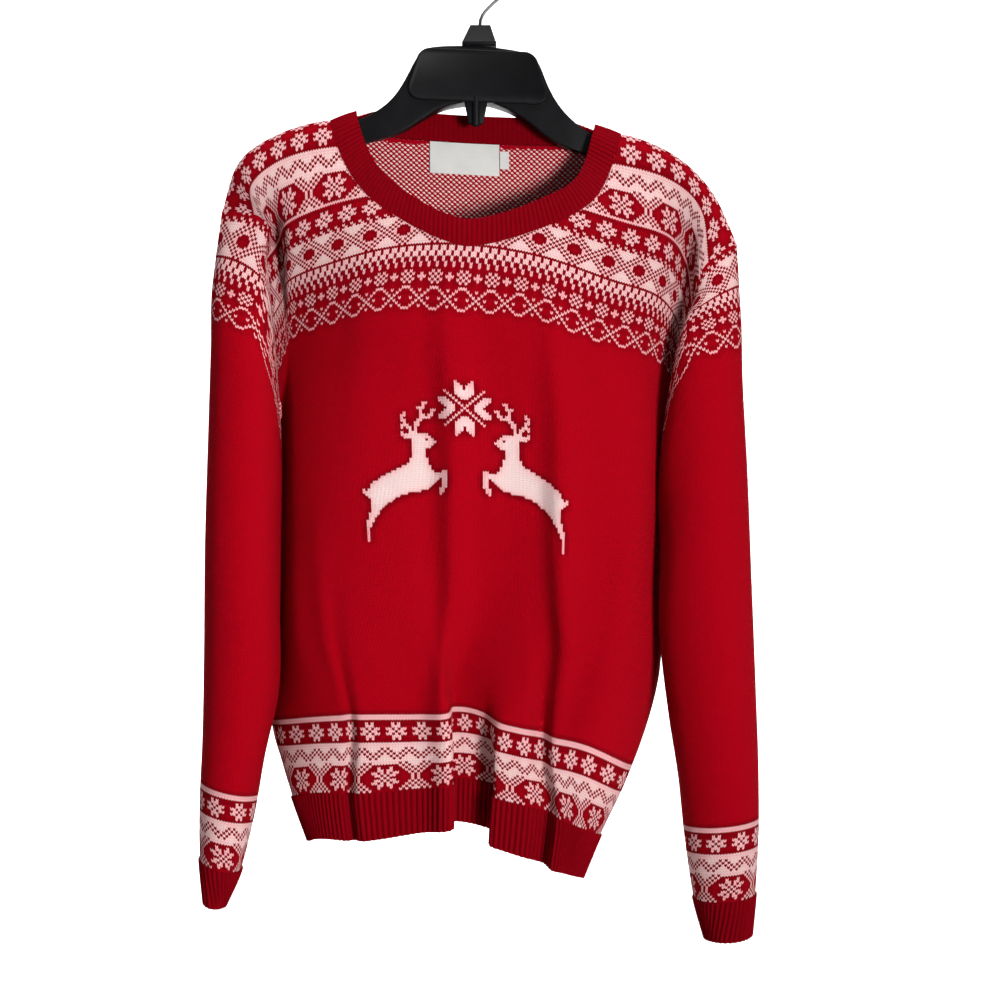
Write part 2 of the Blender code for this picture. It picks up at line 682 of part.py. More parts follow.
def pitch_counts(grid, pitch):
    # Whole ribs in each column of the neckband, from the seam's length.
    lengths = np.linalg.norm(np.diff(grid[-1], axis=0), axis=1) / MM
    return [max(1, int(round(length / pitch))) for length in lengths]


# Garment: every grid first, because the pieces share normals where they meet.
front = panel_grid("front", FRONT_COLUMNS, NECK_FRONT)
back = panel_grid("back", BACK_COLUMNS, NECK_BACK)[:, ::-1]
hem_front = hem_grid("front", FRONT_COLUMNS)
hem_back = hem_grid("back", BACK_COLUMNS)[:, ::-1]
band_front = neckband_grid("front", FRONT_COLUMNS, NECK_FRONT)
band_back = neckband_grid("back", BACK_COLUMNS, NECK_BACK)[:, ::-1]
arms = {}
cuffs = {}
for side in (-1, 1):
    cuff_top = SLEEVES[side][-2][0]
    arms[side] = sleeve_rings(side, np.array(SLEEVE_SHARES) * cuff_top, SLEEVE_COLUMNS)
    cuffs[side] = sleeve_rings(side, np.array([cuff_top, SLEEVES[side][-1][0]]), SLEEVE_COLUMNS)

shared = gather_normals(
    [(grid, False) for grid in (front, back, hem_front, hem_back, band_front, band_back)]
    + [(grid, True) for grid in (arms[-1], arms[1], cuffs[-1], cuffs[1])]
)

# At the underarm the walls of body and sleeve face each other, so their shared point looks down.
for side in (-1, 1):
    underarm = on_panel("front", np.array([side * PANEL_HALF]), np.array([ARMHOLE]))[0]
    shared[key(underarm)] = np.array([0.0, 0.0, -1.0])

cloth("front_panel", front, shared, KNIT, seams=("top", "bottom", "sides"))
cloth("back_panel", back, shared, KNIT, seams=("top", "bottom", "sides"))
cloth(
    "hem_rib_front", hem_front, shared, KNIT,
    seams=("top", "sides"), ribs=rib_counts(FRONT_COLUMNS), rise=RIB_RISE,
)
cloth(
    "hem_rib_back", hem_back, shared, KNIT,
    seams=("top", "sides"), ribs=rib_counts(BACK_COLUMNS)[::-1], rise=RIB_RISE,
)
cloth(
    "neckband_front", band_front, shared, KNIT,
    seams=("bottom", "sides"), ribs=pitch_counts(band_front, NECK_RIB_PITCH), rise=NECK_RIB_RISE,
)
cloth(
    "neckband_back", band_back, shared, KNIT,
    seams=("bottom", "sides"), ribs=pitch_counts(band_back, NECK_RIB_PITCH), rise=NECK_RIB_RISE,
)
for side, word in ((-1, "right"), (1, "left")):
    cloth("sleeve_" + word, arms[side], shared, KNIT, ring=True, seams=("top", "bottom"))
    cloth(
        "cuff_" + word, cuffs[side], shared, KNIT,
        ring=True, seams=("top",), ribs=[CUFF_RIBS_EACH] * SLEEVE_COLUMNS, rise=RIB_RISE,
    )


def sewn_label(name, wales, courses):
    # Woven label lying on the inside of the back, made from the back's own points.
    across = np.linspace(wales[1], wales[0], 4)
    down = np.linspace(courses[0], courses[1], 3)
    shape = (len(down), len(across))
    grid = on_panel("back", np.broadcast_to(across, shape), np.broadcast_to(down[:, None], shape))
    own = gather_normals([(grid, False)])
    normals = point_normals(grid, own)
    grid = grid - normals * (WALL + LABEL_CLEAR) * MM
    own = gather_normals([(grid, False)])
    return cloth(name, grid, own, WOVEN, wall=LABEL_THICK)


sewn_label("neck_label", LABEL_WALES, LABEL_COURSES)
sewn_label("size_tab", TAB_WALES, TAB_COURSES)


# Hanger: one moulding of arms and bridge, lofted through its stations, with the face plate joined on.
def hanger_section(station):
    across, top, bottom, half, cut = station
    corners = (
        (-half, top - cut), (-half + cut, top), (half - cut, top), (half, top - cut),
        (half, bottom + cut), (half - cut, bottom), (-half + cut, bottom), (-half, bottom + cut),
    )
    return [(across * MM, depth * MM, up * MM) for depth, up in corners]


def loft(name, loops, material):
    mesh = bmesh.new()
    rings = [[mesh.verts.new(point) for point in loop] for loop in loops]
    count = len(rings[0])
    for before, after in zip(rings, rings[1:]):
        for place in range(count):
            beside = (place + 1) % count
            mesh.faces.new((before[place], before[beside], after[beside], after[place]))
    mesh.faces.new(rings[0][::-1])
    mesh.faces.new(rings[-1])
    bmesh.ops.recalc_face_normals(mesh, faces=mesh.faces[:])
    return finish(name, mesh, material)


body = loft("hanger_body", [hanger_section(station) for station in HANGER_STATIONS], PLASTIC)
plate = loft(
    "hanger_plate_form",
    [[(across * MM, depth * MM, up * MM) for across, up in PLATE_CORNERS] for depth in PLATE_DEPTHS],
    PLASTIC,
)
rounding = plate.modifiers.new("edge", "BEVEL")
rounding.width = 1.2 * MM
rounding.segments = 1
rounding.limit_method = "ANGLE"
plate.hide_render = True
plate.display_type = "WIRE"
joining = body.modifiers.new("face_plate", "BOOLEAN")
joining.operation = "UNION"
joining.solver = "EXACT"
joining.object = plate


def tapered_block(name, top, foot, depths_top, depths_foot, round_by):
    # Block that narrows from one level to another, with rounded edges.
    loops = []
    for (left, right, up), (near, far) in ((foot, depths_foot), (top, depths_top)):
        corners = ((left, near), (right, near), (right, far), (left, far))
        loops.append([(across * MM, depth * MM, up * MM) for across, depth in corners])
    block = loft(name, loops, PLASTIC)
    edge = block.modifiers.new("edge", "BEVEL")
    edge.width = round_by * MM
    edge.segments = 2
    return block


tapered_block(
    "hanger_cap", CAP_TOP, CAP_FOOT,
    (-CAP_HALF_DEPTHS[1], CAP_HALF_DEPTHS[1]), (-CAP_HALF_DEPTHS[0], CAP_HALF_DEPTHS[0]), 1.2,
)
tapered_block("hanger_prong", PRONG_TOP, PRONG_TIP, PRONG_DEPTHS, PRONG_DEPTHS, 1.2)

# Hook: wire up from the cap, then round in one bend whose inner top is the mount.
turn = np.radians(np.linspace(HOOK_TURN[0], HOOK_TURN[1], 19))
centre_up = HOOK_WIRE / 2 - HOOK_RADIUS
bend = [(HOOK_RADIUS * math.cos(a), centre_up + HOOK_RADIUS * math.sin(a)) for a in turn]
shank = np.array(list(HOOK_SHANK) + bend[:2])
run = np.concatenate([[0], np.cumsum(np.linalg.norm(np.diff(shank, axis=0), axis=1))])
lower = through(run, shank, np.linspace(0, run[-2], 8))
route = [tuple(point) for point in lower] + bend[1:]
wire = bpy.data.curves.new("hanger_hook", "CURVE")
wire.dimensions = "3D"
wire.bevel_depth = HOOK_WIRE / 2 * MM
wire.bevel_resolution = 2
wire.use_fill_caps = True
spline = wire.splines.new("POLY")
spline.points.add(len(route) - 1)
for spot, (across, up) in zip(spline.points, route):
    spot.co = (across * MM, 0, up * MM, 1)
wire.materials.append(WIRE)
hook = bpy.data.objects.new("hanger_hook", wire)
bpy.context.scene.collection.objects.link(hook)
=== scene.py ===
import math

import bmesh
import bpy
import numpy as np
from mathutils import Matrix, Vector


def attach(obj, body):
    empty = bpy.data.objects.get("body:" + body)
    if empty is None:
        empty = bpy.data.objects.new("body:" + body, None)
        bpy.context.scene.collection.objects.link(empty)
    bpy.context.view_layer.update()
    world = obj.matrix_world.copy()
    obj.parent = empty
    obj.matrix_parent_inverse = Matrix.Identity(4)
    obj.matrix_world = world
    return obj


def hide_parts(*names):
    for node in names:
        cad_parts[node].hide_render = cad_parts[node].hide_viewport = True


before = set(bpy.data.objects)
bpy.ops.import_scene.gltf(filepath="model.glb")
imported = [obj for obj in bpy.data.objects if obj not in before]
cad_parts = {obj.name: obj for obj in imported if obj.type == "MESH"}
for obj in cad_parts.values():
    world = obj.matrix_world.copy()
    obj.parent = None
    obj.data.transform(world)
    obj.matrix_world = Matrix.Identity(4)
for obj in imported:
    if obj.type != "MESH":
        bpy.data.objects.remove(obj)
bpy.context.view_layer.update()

mm = 0.001

# Knit gauge and flat sizes of the pieces, in millimetres.
panel = {"half": 277.0, "length": 622.0, "hemRib": 42.0, "armhole": 210.0, "halfStitches": 108, "rows": 279}
stitch = panel["half"] / panel["halfStitches"]
rowHeight = panel["length"] / panel["rows"]
neck = {"half": 26 * 277.0 / 55, "front": (136.0, 1.6), "back": (13.0, 4.6), "band": 25.0}
# Neckband: its turn from upright at the shoulders in degrees, then how late it turns and its lean back.
neckTurn = {"turn": 70.0, "front": (2.4, 0.16), "back": (2.6, 0.04)}
# Cloth: wall, gap at a seam, reach from an edge to find the way in, stitches to a face of the plain
# inside, and the angle in radians from which an edge is drawn sharp.
shell = {"wall": 2.0, "seam": 0.02, "reach": 2.5, "inner": 3, "sharp": 0.9}
# Ribbing: ribs of hem and cuff or width of a rib, height of a course, and the mesh of a rib, with the
# columns from a side to find the way in.
ribbing = {"hem": 110, "cuff": 48, "course": 2.1, "columns": 6, "rows": 20, "rise": 1.6, "reach": 3}
ribPower = 0.8
neckRibbing = {"rib": 4.5, "course": 1.9, "rows": 14, "rise": 0.9, "puff": 0.7, "reach": 4}
# Points taken round a sleeve's section, round the sleeve itself and along the neck.
samples = {"section": 721, "around": 801, "neck": 3001}

# Sections of the panels: places across the flat cloth, then for each distance down it where these
# places hang, across, in depth with the back positive, and up, all in millimetres.
wales = (-277, -230, -180, -130, -65, 0, 65, 130, 180, 230, 277)
frontAcross = (
    (0, -231.5, -216, -179, -133, -68, -3, 62, 127, 175, 210, 232),
    (17, -215, -210, -177, -133, -68, -3, 61, 126, 174, 204, 217),
    (35, -196, -200, -175, -132, -68, -4, 60, 126, 172, 197, 202),
    (77, -190, -181, -169, -130, -68, -5, 60, 127, 168, 187, 194),
    (130, -186, -177, -169, -132, -71, -10, 54, 117, 158, 178, 183),
    (180, -183, -176, -168, -132, -78, -16, 47, 105, 148, 171, 174),
    (278, -182, -177, -165, -130, -74, -13, 48, 105, 147, 166, 168),
    (380, -183, -179, -163, -128, -70, -13, 48, 101, 141, 162, 165),
    (480, -186, -181, -160, -122, -62, -13, 45, 90, 128, 158, 163.5),
    (567, -188, -179, -140, -107, -46, -13, 19, 61, 92, 128, 135),
    (622, -168, -165, -141, -108, -44, -14, 15, 66, 88, 107, 110),
    (664, -152, -152, -136, -104, -44, -15, 12, 61, 81, 92, 93),
)
frontDepth = (
    (0, 0, 0, 0, 0, 0, 0, 0, 0, 0, 0, 0),
    (17, -9, -13, -12, -12, -12, -12, -12, -12, -12, -13, -9),
    (35, -14, -18, -16, -17, -20, -22, -20, -17, -16, -18, -15),
    (77, -12, 2, -24, -33, -36, -37, -36, -33, -24, 2, -12),
    (130, 1, 7, -10, -30, -44, -46, -44, -36, -22, 5, 2),
    (180, 11, 11, 6, -24, -50, -50, -50, -36, -15, 8, 12),
    (278, 22, 14, -10, -38, -52, -49, -51, -44, -24, 10, 22),
    (380, 24, 12, -20, -46, -55, -42, -50, -48, -32, 6, 25),
    (480, 26, 8, -30, -50, -57, -34, -50, -52, -40, 0, 26),
    (567, 26, 2, -38, -50, -56, -29, -57, -45, -46, -4, 26),
    (622, 16, -16, -38, -48, -54, -29, -56, -50, -46, -18, 16),
    (664, 14, -12, -34, -44, -50, -27, -52, -46, -40, -14, 14),
)
frontUp = (
    (0, -218, -173, -147, -135, -140, -144, -146, -147, -166, -200, -246),
    (17, -220, -184, -158, -147, -153, -158, -162.5, -161.5, -177, -210, -255.5),
    (35, -225, -201, -179, -168, -170, -172, -179, -184, -198, -224, -270),
    (77, -258, -245, -231, -216, -205, -202, -212, -231, -243, -264, -302),
    (130, -308, -290, -276, -264, -251, -249, -259, -279, -291, -309, -337),
    (180, -356, -336, -322, -313, -302, -304, -310, -329, -338, -352, -367),
    (278, -443, -431, -417, -403, -396, -396, -400, -416, -431, -444, -453),
    (380, -532, -521, -507, -497, -493, -494, -498, -513, -527, -540, -549),
    (480, -620, -611, -600, -592, -588, -590, -596, -607, -619, -634, -642),
    (567, -690, -689, -682, -679, -678, -674, -687, -699, -708, -729, -731),
    (622, -744, -741, -735, -734, -728, -723, -737, -752, -764, -775, -779),
    (664, -786, -781, -776, -776, -767, -762, -780, -798, -807, -814, -819),
)
backAcross = (
    (0, -216, -179, -133, -68, -3, 62, 127, 175, 209),
    (17, -210, -178, -133, -68, -3, 61, 126, 174, 205),
    (35, -203, -176, -132, -68, -3, 61, 126, 173, 200),
    (77, -190, -172, -130, -66, -2, 62, 127, 169, 190),
    (130, -183, -168, -129, -68, -4, 60, 120, 160, 178),
    (180, -178, -164, -127, -69, -5, 57, 113, 152, 168),
    (278, -174, -158, -122, -66, -6, 53, 107, 145, 160),
    (380, -172, -154, -117, -63, -6, 50, 102, 140, 156),
    (480, -172, -150, -111, -60, -7, 46, 95, 133, 153),
    (567, -170, -142, -103, -56, -9, 36, 80, 110, 126),
    (622, -158, -134, -98, -53, -12, 28, 65, 90, 104),
    (664, -146, -126, -92, -50, -14, 22, 54, 77, 89),
)
backDepth = (
    (0, 0, 0, 0, 10, 12, 10, 0, 0, 0),
    (17, 11, 12, 12, 14, 15, 14, 12, 12, 11),
    (35, 16, 17, 18, 18, 17, 18, 18, 17, 16),
    (77, 22, 26, 28, 30, 30, 30, 28, 26, 22),
    (130, 28, 32, 37, 40, 40, 40, 37, 32, 28),
    (180, 32, 38, 45, 48, 48, 48, 45, 38, 32),
    (278, 38, 46, 55, 60, 61, 60, 55, 46, 38),
    (380, 41, 51, 61, 67, 68, 67, 61, 51, 41),
    (480, 44, 56, 67, 73, 74, 73, 67, 56, 44),
    (567, 46, 60, 70, 76, 77, 76, 70, 60, 46),
    (622, 42, 56, 66, 72, 74, 72, 66, 56, 42),
    (664, 36, 50, 60, 66, 68, 66, 60, 50, 36),
)
backUp = (
    (0, -173, -147, -135, -140, -144, -146, -147, -166, -200),
    (17, -186, -159, -148, -153, -157, -159.5, -161.5, -178, -212),
    (35, -203, -175, -165, -170, -174, -177, -180, -195, -227),
    (77, -243, -218, -206, -210, -214, -218, -223, -236, -265),
    (130, -290, -270, -258, -261, -265, -269, -276, -289, -312),
    (180, -338, -319, -307, -309, -313, -317, -325, -338, -356),
    (278, -428, -412, -400, -401, -405, -410, -419, -434, -446),
    (380, -517, -503, -493, -494, -498, -504, -514, -530, -543),
    (480, -604, -591, -583, -584, -588, -595, -607, -624, -637),
    (567, -680, -670, -664, -664, -668, -676, -690, -708, -722),
    (622, -735, -727, -722, -720, -723, -732, -748, -764, -774),
    (664, -777, -770, -765, -761, -763, -774, -790, -805, -813),
)

# Folds that run down a panel: place across at the start and at the end, distance down where the fold
# starts and where it is full, width of its wall, and its swing in degrees.
frontFolds = (
    (-26, -26, 430, 600, 28, 92),
    (44, 49, 515, 610, 30, -92),
    (60, 108, 440, 567, 22, 38),
    (82, 130, 440, 567, 20, -44),
    (-136, -144, 400, 600, 12, 52),
    (-123, -131, 400, 600, 13, -50),
)
backFolds = (
    (-150, -160, 150, 600, 20, -52),
    (-130, -132, 150, 600, 22, 52),
    (-68, -62, 240, 600, 22, -58),
    (-46, -34, 240, 600, 22, 58),
    (24, 34, 180, 600, 20, -50),
    (46, 60, 180, 600, 20, 50),
    (104, 116, 260, 600, 22, -56),
    (126, 142, 260, 600, 22, 56),
)

# Armhole seams: distance down from the shoulder, then across, depth and up.
armholes = {
    ("front", -1): (
        (0, -231.5, 0, -218), (17.5, -214, -10, -219.5), (36, -196, -15, -224), (52, -187, -18, -235),
        (70, -189, -13, -254), (100, -188, -6, -281), (130, -186, 1, -308), (180, -183, 10, -356),
        (210, -182.5, 14, -383),
    ),
    ("front", 1): (
        (0, 232, 0, -246), (17.5, 217, -9, -254.5), (36, 201, -15, -269), (52, 196, -15, -282),
        (77, 191, -8, -303), (130, 183, 2, -337), (180, 176, 10, -367), (210, 172.5, 14.5, -391),
    ),
    ("back", -1): (
        (0, -231.5, 0, -218), (17.5, -218, 9, -223), (36, -205, 15, -235), (70, -195, 19, -261),
        (130, -187, 22, -312), (180, -183, 20, -357), (210, -182.5, 14, -383),
    ),
    ("back", 1): (
        (0, 232, 0, -246), (17.5, 220, 9, -252.5), (36, 206, 15, -266), (70, 195, 19, -294),
        (130, 184, 22, -336), (180, 177, 20, -368), (210, 172.5, 14.5, -391),
    ),
}

# Sleeves: down, outer, inner, front, back, up, fall, under, groove.
sleeves = {
    -1: (
        (60, -240, -182, -27, 36, -280, 26, 104, 6),
        (120, -241.5, -182.5, -38, 46, -341, 26, 92, 9),
        (200, -243.5, -185, -46, 50, -421, 24, 64, 12),
        (300, -245.4, -185, -54, 46, -521, 22, 35, 12),
        (400, -246, -185, -54, 42, -621, 18, 12, 10),
        (470, -247.5, -196, -50, 40, -691, 15, 0, 8),
        (530, -250.5, -205, -44, 40, -751, 13, 0, 5),
        (576, -250, -214, -38, 34, -797, 12, 0, 0),
        (618, -246, -228, -33, 29, -835, 6, 0, 0),
    ),
    1: (
        (60, 236, 169, -27, 36, -306, 24, 92, 6),
        (120, 237.5, 166, -38, 46, -368, 22, 84, 9),
        (200, 241.3, 170, -46, 50, -448, 18, 58, 12),
        (300, 244.4, 168.5, -54, 46, -548, 14, 32, 12),
        (400, 248, 175.5, -54, 42, -648, 10, 12, 10),
        (470, 250.5, 183, -50, 40, -718, 8, 0, 8),
        (530, 251, 187.5, -44, 40, -777, 6, 0, 5),
        (583, 248, 193, -38, 34, -829, 5, 0, 0),
        (625, 244.5, 203, -33, 29, -866, 4, 0, 0),
    ),
}
# Flat widths, how much of a face stays open, how far the groove draws in the inner edge, its place and
# width in radians, and the share of the folded cloth that is spread evenly.
sleeveCut = {
    "top": 420.0, "cuff": 215.0, "openFace": 100.0, "openShare": 0.8, "lobe": 0.8, "grooveAt": 0.38,
    "groove": 0.38, "even": 0.6,
}
# Degrees round from the outer edge at which the underarm starts to fall.
underarmFrom = 110.0


def through(stations, values, at):
    # smooth curve through values at stations
    stations = np.asarray(stations, float)
    values = np.asarray(values, float)
    at = np.asarray(at, float)
    slopes = np.gradient(values, stations, axis=0)
    low = np.clip(np.searchsorted(stations, at, side="right") - 1, 0, len(stations) - 2)
    span = stations[low + 1] - stations[low]
    part = np.clip((at - stations[low]) / span, 0, 1)
    shape = (len(at),) + (1,) * (values.ndim - 1)
    span = span.reshape(shape)
    part = part.reshape(shape)
    square = part * part
    cube = square * part
    return (
        (2 * cube - 3 * square + 1) * values[low]
        + (cube - 2 * square + part) * span * slopes[low]
        + (3 * square - 2 * cube) * values[low + 1]
        + (cube - square) * span * slopes[low + 1]
    )


def ease(value):
    # smooth step from 0 to 1
    value = np.clip(value, 0, 1)
    return value * value * (3 - 2 * value)


# Soft creases of the front: distance down, place of the crest across, its rise and its two flanks.
creases = (
    ((110, -11, 0, 22, 34), (200, -11, 7, 22, 38), (300, -10, 14.5, 21, 42), (400, -11, 16.5, 21, 42),
     (450, -12, 16, 21, 38), (500, -24, 15, 21, 30), (550, -45, 13, 21, 24), (600, -48, 12, 20, 22),
     (664, -48, 11, 20, 22)),
    ((130, 84, 0, 20, 30), (200, 86, 4, 21, 32), (290, 90, 11, 21, 34), (400, 92, 15, 21, 36),
     (450, 97, 14, 20, 34), (500, 114, 8, 18, 28), (567, 141, 4, 18, 24), (664, 141, 4, 18, 24)),
    ((330, -150, 0, 16, 22), (430, -146, 3, 17, 24), (520, -140, 3.5, 16, 22), (590, -134, 0, 14, 20)),
    ((60, -96, 0, 24, 30), (140, -92, 2.2, 26, 34), (260, -98, 3, 28, 36), (360, -104, 0, 26, 32)),
    ((260, 28, 0, 18, 20), (380, 26, 2.4, 20, 22), (470, 24, 0, 18, 20)),
    ((300, 168, 0, 18, 24), (420, 164, 3, 20, 26), (540, 158, 0, 18, 22)),
)

# How steeply a crease falls away, and how far down front and back are drawn together at the shoulders.
creaseFall = 2.2
shoulderJoin = 30.0

fineWales = np.arange(-panel["half"], panel["half"] + 0.5, 1.0)
courseStep = 2.0
fineCourses = np.arange(0.0, panel["length"] + panel["hemRib"] + 1.0, courseStep)


def hang(tables, folds, edges):
    # hung surface of a panel: sections, then folds, then armhole edges
    tables = [np.asarray(table, float) for table in tables]
    held = through(tables[0][:, 0], np.stack([table[:, 1:] for table in tables], axis=-1), fineCourses)
    turn = np.zeros((len(fineCourses), len(fineWales)))
    for waleTop, waleEnd, start, full, wall, swing in folds:
        grown = np.clip((fineCourses - start) / (full - start), 0, 1)
        centre = waleTop + (waleEnd - waleTop) * grown
        # full swing over the middle of a wall, fading out towards its sides
        reach = np.abs(fineWales[None, :] - centre[:, None]) / wall
        turn += math.radians(swing) * ease(grown)[:, None] * ease(1.5 - 2 * reach)
    middle = len(fineWales) // 2
    taken = np.cumsum(1 - np.cos(turn), axis=1)
    taken -= taken[:, [middle]]
    pushed = np.cumsum(np.sin(turn), axis=1)
    pushed -= pushed[:, [middle]]
    columns = [int(wale + panel["half"]) for wale in wales]
    held[..., 0] += taken[:, columns]
    held[..., 1] -= pushed[:, columns]
    surface = through(wales, held.transpose(1, 0, 2), fineWales).transpose(1, 0, 2)
    surface[..., 0] -= taken
    surface[..., 1] += pushed
    last = -abs(wales[1])
    for side in (-1, 1):
        seam = np.asarray(armholes[(edges, side)], float)
        arm = fineCourses <= panel["armhole"]
        edge = 0 if side < 0 else len(fineWales) - 1
        goal = surface[:, edge].copy()
        goal[arm] = through(seam[:, 0], seam[:, 1:], fineCourses[arm])
        pull = np.clip((side * fineWales + last) / (panel["half"] + last), 0, 1)
        surface += pull[None, :, None] * (goal - surface[:, edge])[:, None, :]
    return surface


def withEdges(inner, outer):
    # a table of the back with the front's values at both edges
    return tuple((row[0], edge[1]) + tuple(row[1:]) + (edge[-1],) for row, edge in zip(inner, outer))


frontTables = (frontAcross, frontDepth, frontUp)
backTables = tuple(withEdges(b, f) for b, f in zip((backAcross, backDepth, backUp), frontTables))
surfaces = {"front": hang(frontTables, frontFolds, "front"), "back": hang(backTables, backFolds, "back")}
for crease in creases:
    line = np.asarray(crease, float)
    inLength = (fineCourses >= line[0, 0]) & (fineCourses <= line[-1, 0])
    crest, rise, left, right = through(line[:, 0], line[:, 1:], fineCourses).T
    aside = fineWales[None, :] - crest[:, None]
    reach = np.where(aside < 0, -aside / left[:, None], aside / right[:, None])
    ridge = np.exp(-0.5 * (creaseFall * reach) ** 2)
    surfaces["front"][..., 1] -= np.maximum(rise, 0)[:, None] * inLength[:, None] * ridge
shoulder = np.abs(fineWales) >= neck["half"] - 1
apart = surfaces["front"][0] - surfaces["back"][0]
near = np.clip(1 - fineCourses / shoulderJoin, 0, 1)
surfaces["back"] += near[:, None, None] * (apart * shoulder[:, None])[None]


def onPanel(name, across, down):
    # points of a panel at places across and down the flat cloth, in metres
    surface = surfaces[name]
    column = np.asarray(across, float) + panel["half"]
    row = np.asarray(down, float) / courseStep
    left = np.clip(column.astype(int), 0, len(fineWales) - 2)
    top = np.clip(row.astype(int), 0, len(fineCourses) - 2)
    a = (column - left)[..., None]
    d = (row - top)[..., None]
    upper = surface[top, left] * (1 - a) + surface[top, left + 1] * a
    lower = surface[top + 1, left] * (1 - a) + surface[top + 1, left + 1] * a
    return (upper * (1 - d) + lower * d) * mm


def neckCourse(across, name):
    drop, square = neck[name]
    inside = np.clip(np.abs(across) / neck["half"], 0, 1)
    return drop * (1 - inside ** square) ** (1 / square)


# Charts, X for light yarn, upper row first.
smallFlake = ("..X.X..", "..XXX..", "XX.X.XX", ".XX.XX.", "XX.X.XX", "..XXX..", "..X.X..")
bigFlake = (
    "..X...X..", "..XX.XX..", "XX.X.X.XX", ".XX.X.XX.", "...X.X...", ".XX.X.XX.", "XX.X.X.XX",
    "..XX.XX..", "..X...X..",
)
ball = (".X.X.", "X.X.X", ".X.X.", "X.X.X", ".X.X.")
plus = ("...", ".X.", "XXX", ".X.", "...")
twill = (".XX", ".XX", "XX.", "XX.", "..X", "..X", "X..", "X..")
dots = ("X..", ".X.")


def motif(rows, s, period, centre=0):
    # one row of cells for each chart row, repeated across the stitches s
    width = len(rows[0])
    offset = (s - centre + width // 2) % period
    cells = np.array([[mark == "X" for mark in row] for row in rows], float)
    return [np.where(offset < width, line[np.minimum(offset, width - 1)], 0.0) for line in cells]


def zigzag(s):
    # dark zigzag lines on a light band, eight stitches each
    a = np.abs((s + 4) % 8 - 4)
    marks = ((1,), (0, 2), (1, 3), (2, 4), (3,))
    return [1.0 - np.isin(a, mark) for mark in marks]


def hexagons(s, shift):
    # hexagons twenty stitches wide, joined by crossing lines, with a big flake in each
    c = np.abs((s - shift + 10) % 20 - 10)
    flakes = motif(bigFlake, s, 20, shift + 10)
    rows = []
    for h in range(-6, 6):
        deep = abs(h)
        if deep <= 1:
            row = (c == 1) * 1.0
        else:
            row = ((c == deep) | (c == deep - 2) | (c <= deep - 4)) * 1.0
        if h == -6:
            row = np.maximum(row, c > deep)
        if deep <= 4:
            row = np.maximum(row, flakes[h + 4])
        rows.append(row)
    return rows


def lattice(s):
    # lozenges twelve stitches wide, a dark middle inside two dark outlines
    c = np.abs((s + 6) % 12 - 6)
    rows = []
    for r in range(-6, 7):
        d = c + abs(r)
        middle = (d <= 3) & (c <= 2) & (abs(r) <= 2)
        rows.append(1.0 - (middle | (d == 5) | (d == 7)))
    return rows


def chain(s):
    # crossing lines that open into ovals, ten stitches each
    c = (s + 5) % 10
    high = {0: 0, 1: 1, 2: 2, 3: 3, 4: 4, 5: 4, 6: 4, 7: 3, 8: 2, 9: 1}
    level = np.array([high[int(v)] for v in c])
    rows = []
    for r in range(-4, 5):
        row = (level == abs(r)) * 1.0
        if abs(r) == 3:
            row = np.maximum(row, c == 0)
        if r == 0:
            row = np.maximum(row, (c == 3) | (c == 7))
        rows.append(row)
    return rows


def yokeChart(s):
    red = np.zeros(len(s))
    light = np.ones(len(s))
    flakes = motif(smallFlake, s, 9)
    rows = flakes[3:] + [red, red] + flakes + [red]
    rows += [light, light] + zigzag(s) + [light]
    rows += hexagons(s, 0) + [light]
    rows += [red, red] + flakes + [red] + motif(dots, s, 3)
    rows += lattice(s) + [red]
    rows += motif(twill, s, 3) + [red]
    rows += [np.maximum(a, b) for a, b in zip(motif(ball, s, 10), motif(plus, s, 10, 5))] + [red]
    return rows + chain(s)


def hemChart(s):
    red = np.zeros(len(s))
    light = np.ones(len(s))
    rows = [light, light, red] + motif(smallFlake, s, 9) + [red]
    rows += [light, light] + zigzag(s) + [light]
    return rows + hexagons(s, 10)


def starAt(s, r):
    # four notched petals, point inward, and two thin diagonals
    on = (np.abs(s) == np.abs(r)) & (np.abs(s) <= 7)
    upright = {4: (0, 1), 5: (0, 2), 6: (0, 3), 7: (0, 3), 8: (1, 3), 9: (1, 3), 10: (2, 3), 11: (3, 3)}
    level = {4: (0, 1), 5: (0, 2), 6: (0, 3), 7: (1, 4), 8: (2, 4), 9: (3, 4)}
    for along, aside, petal in ((np.abs(r), np.abs(s), upright), (np.abs(s), np.abs(r), level)):
        for step, (near, far) in petal.items():
            on |= (along == step) & (aside >= near) & (aside <= far)
    return on * 1.0


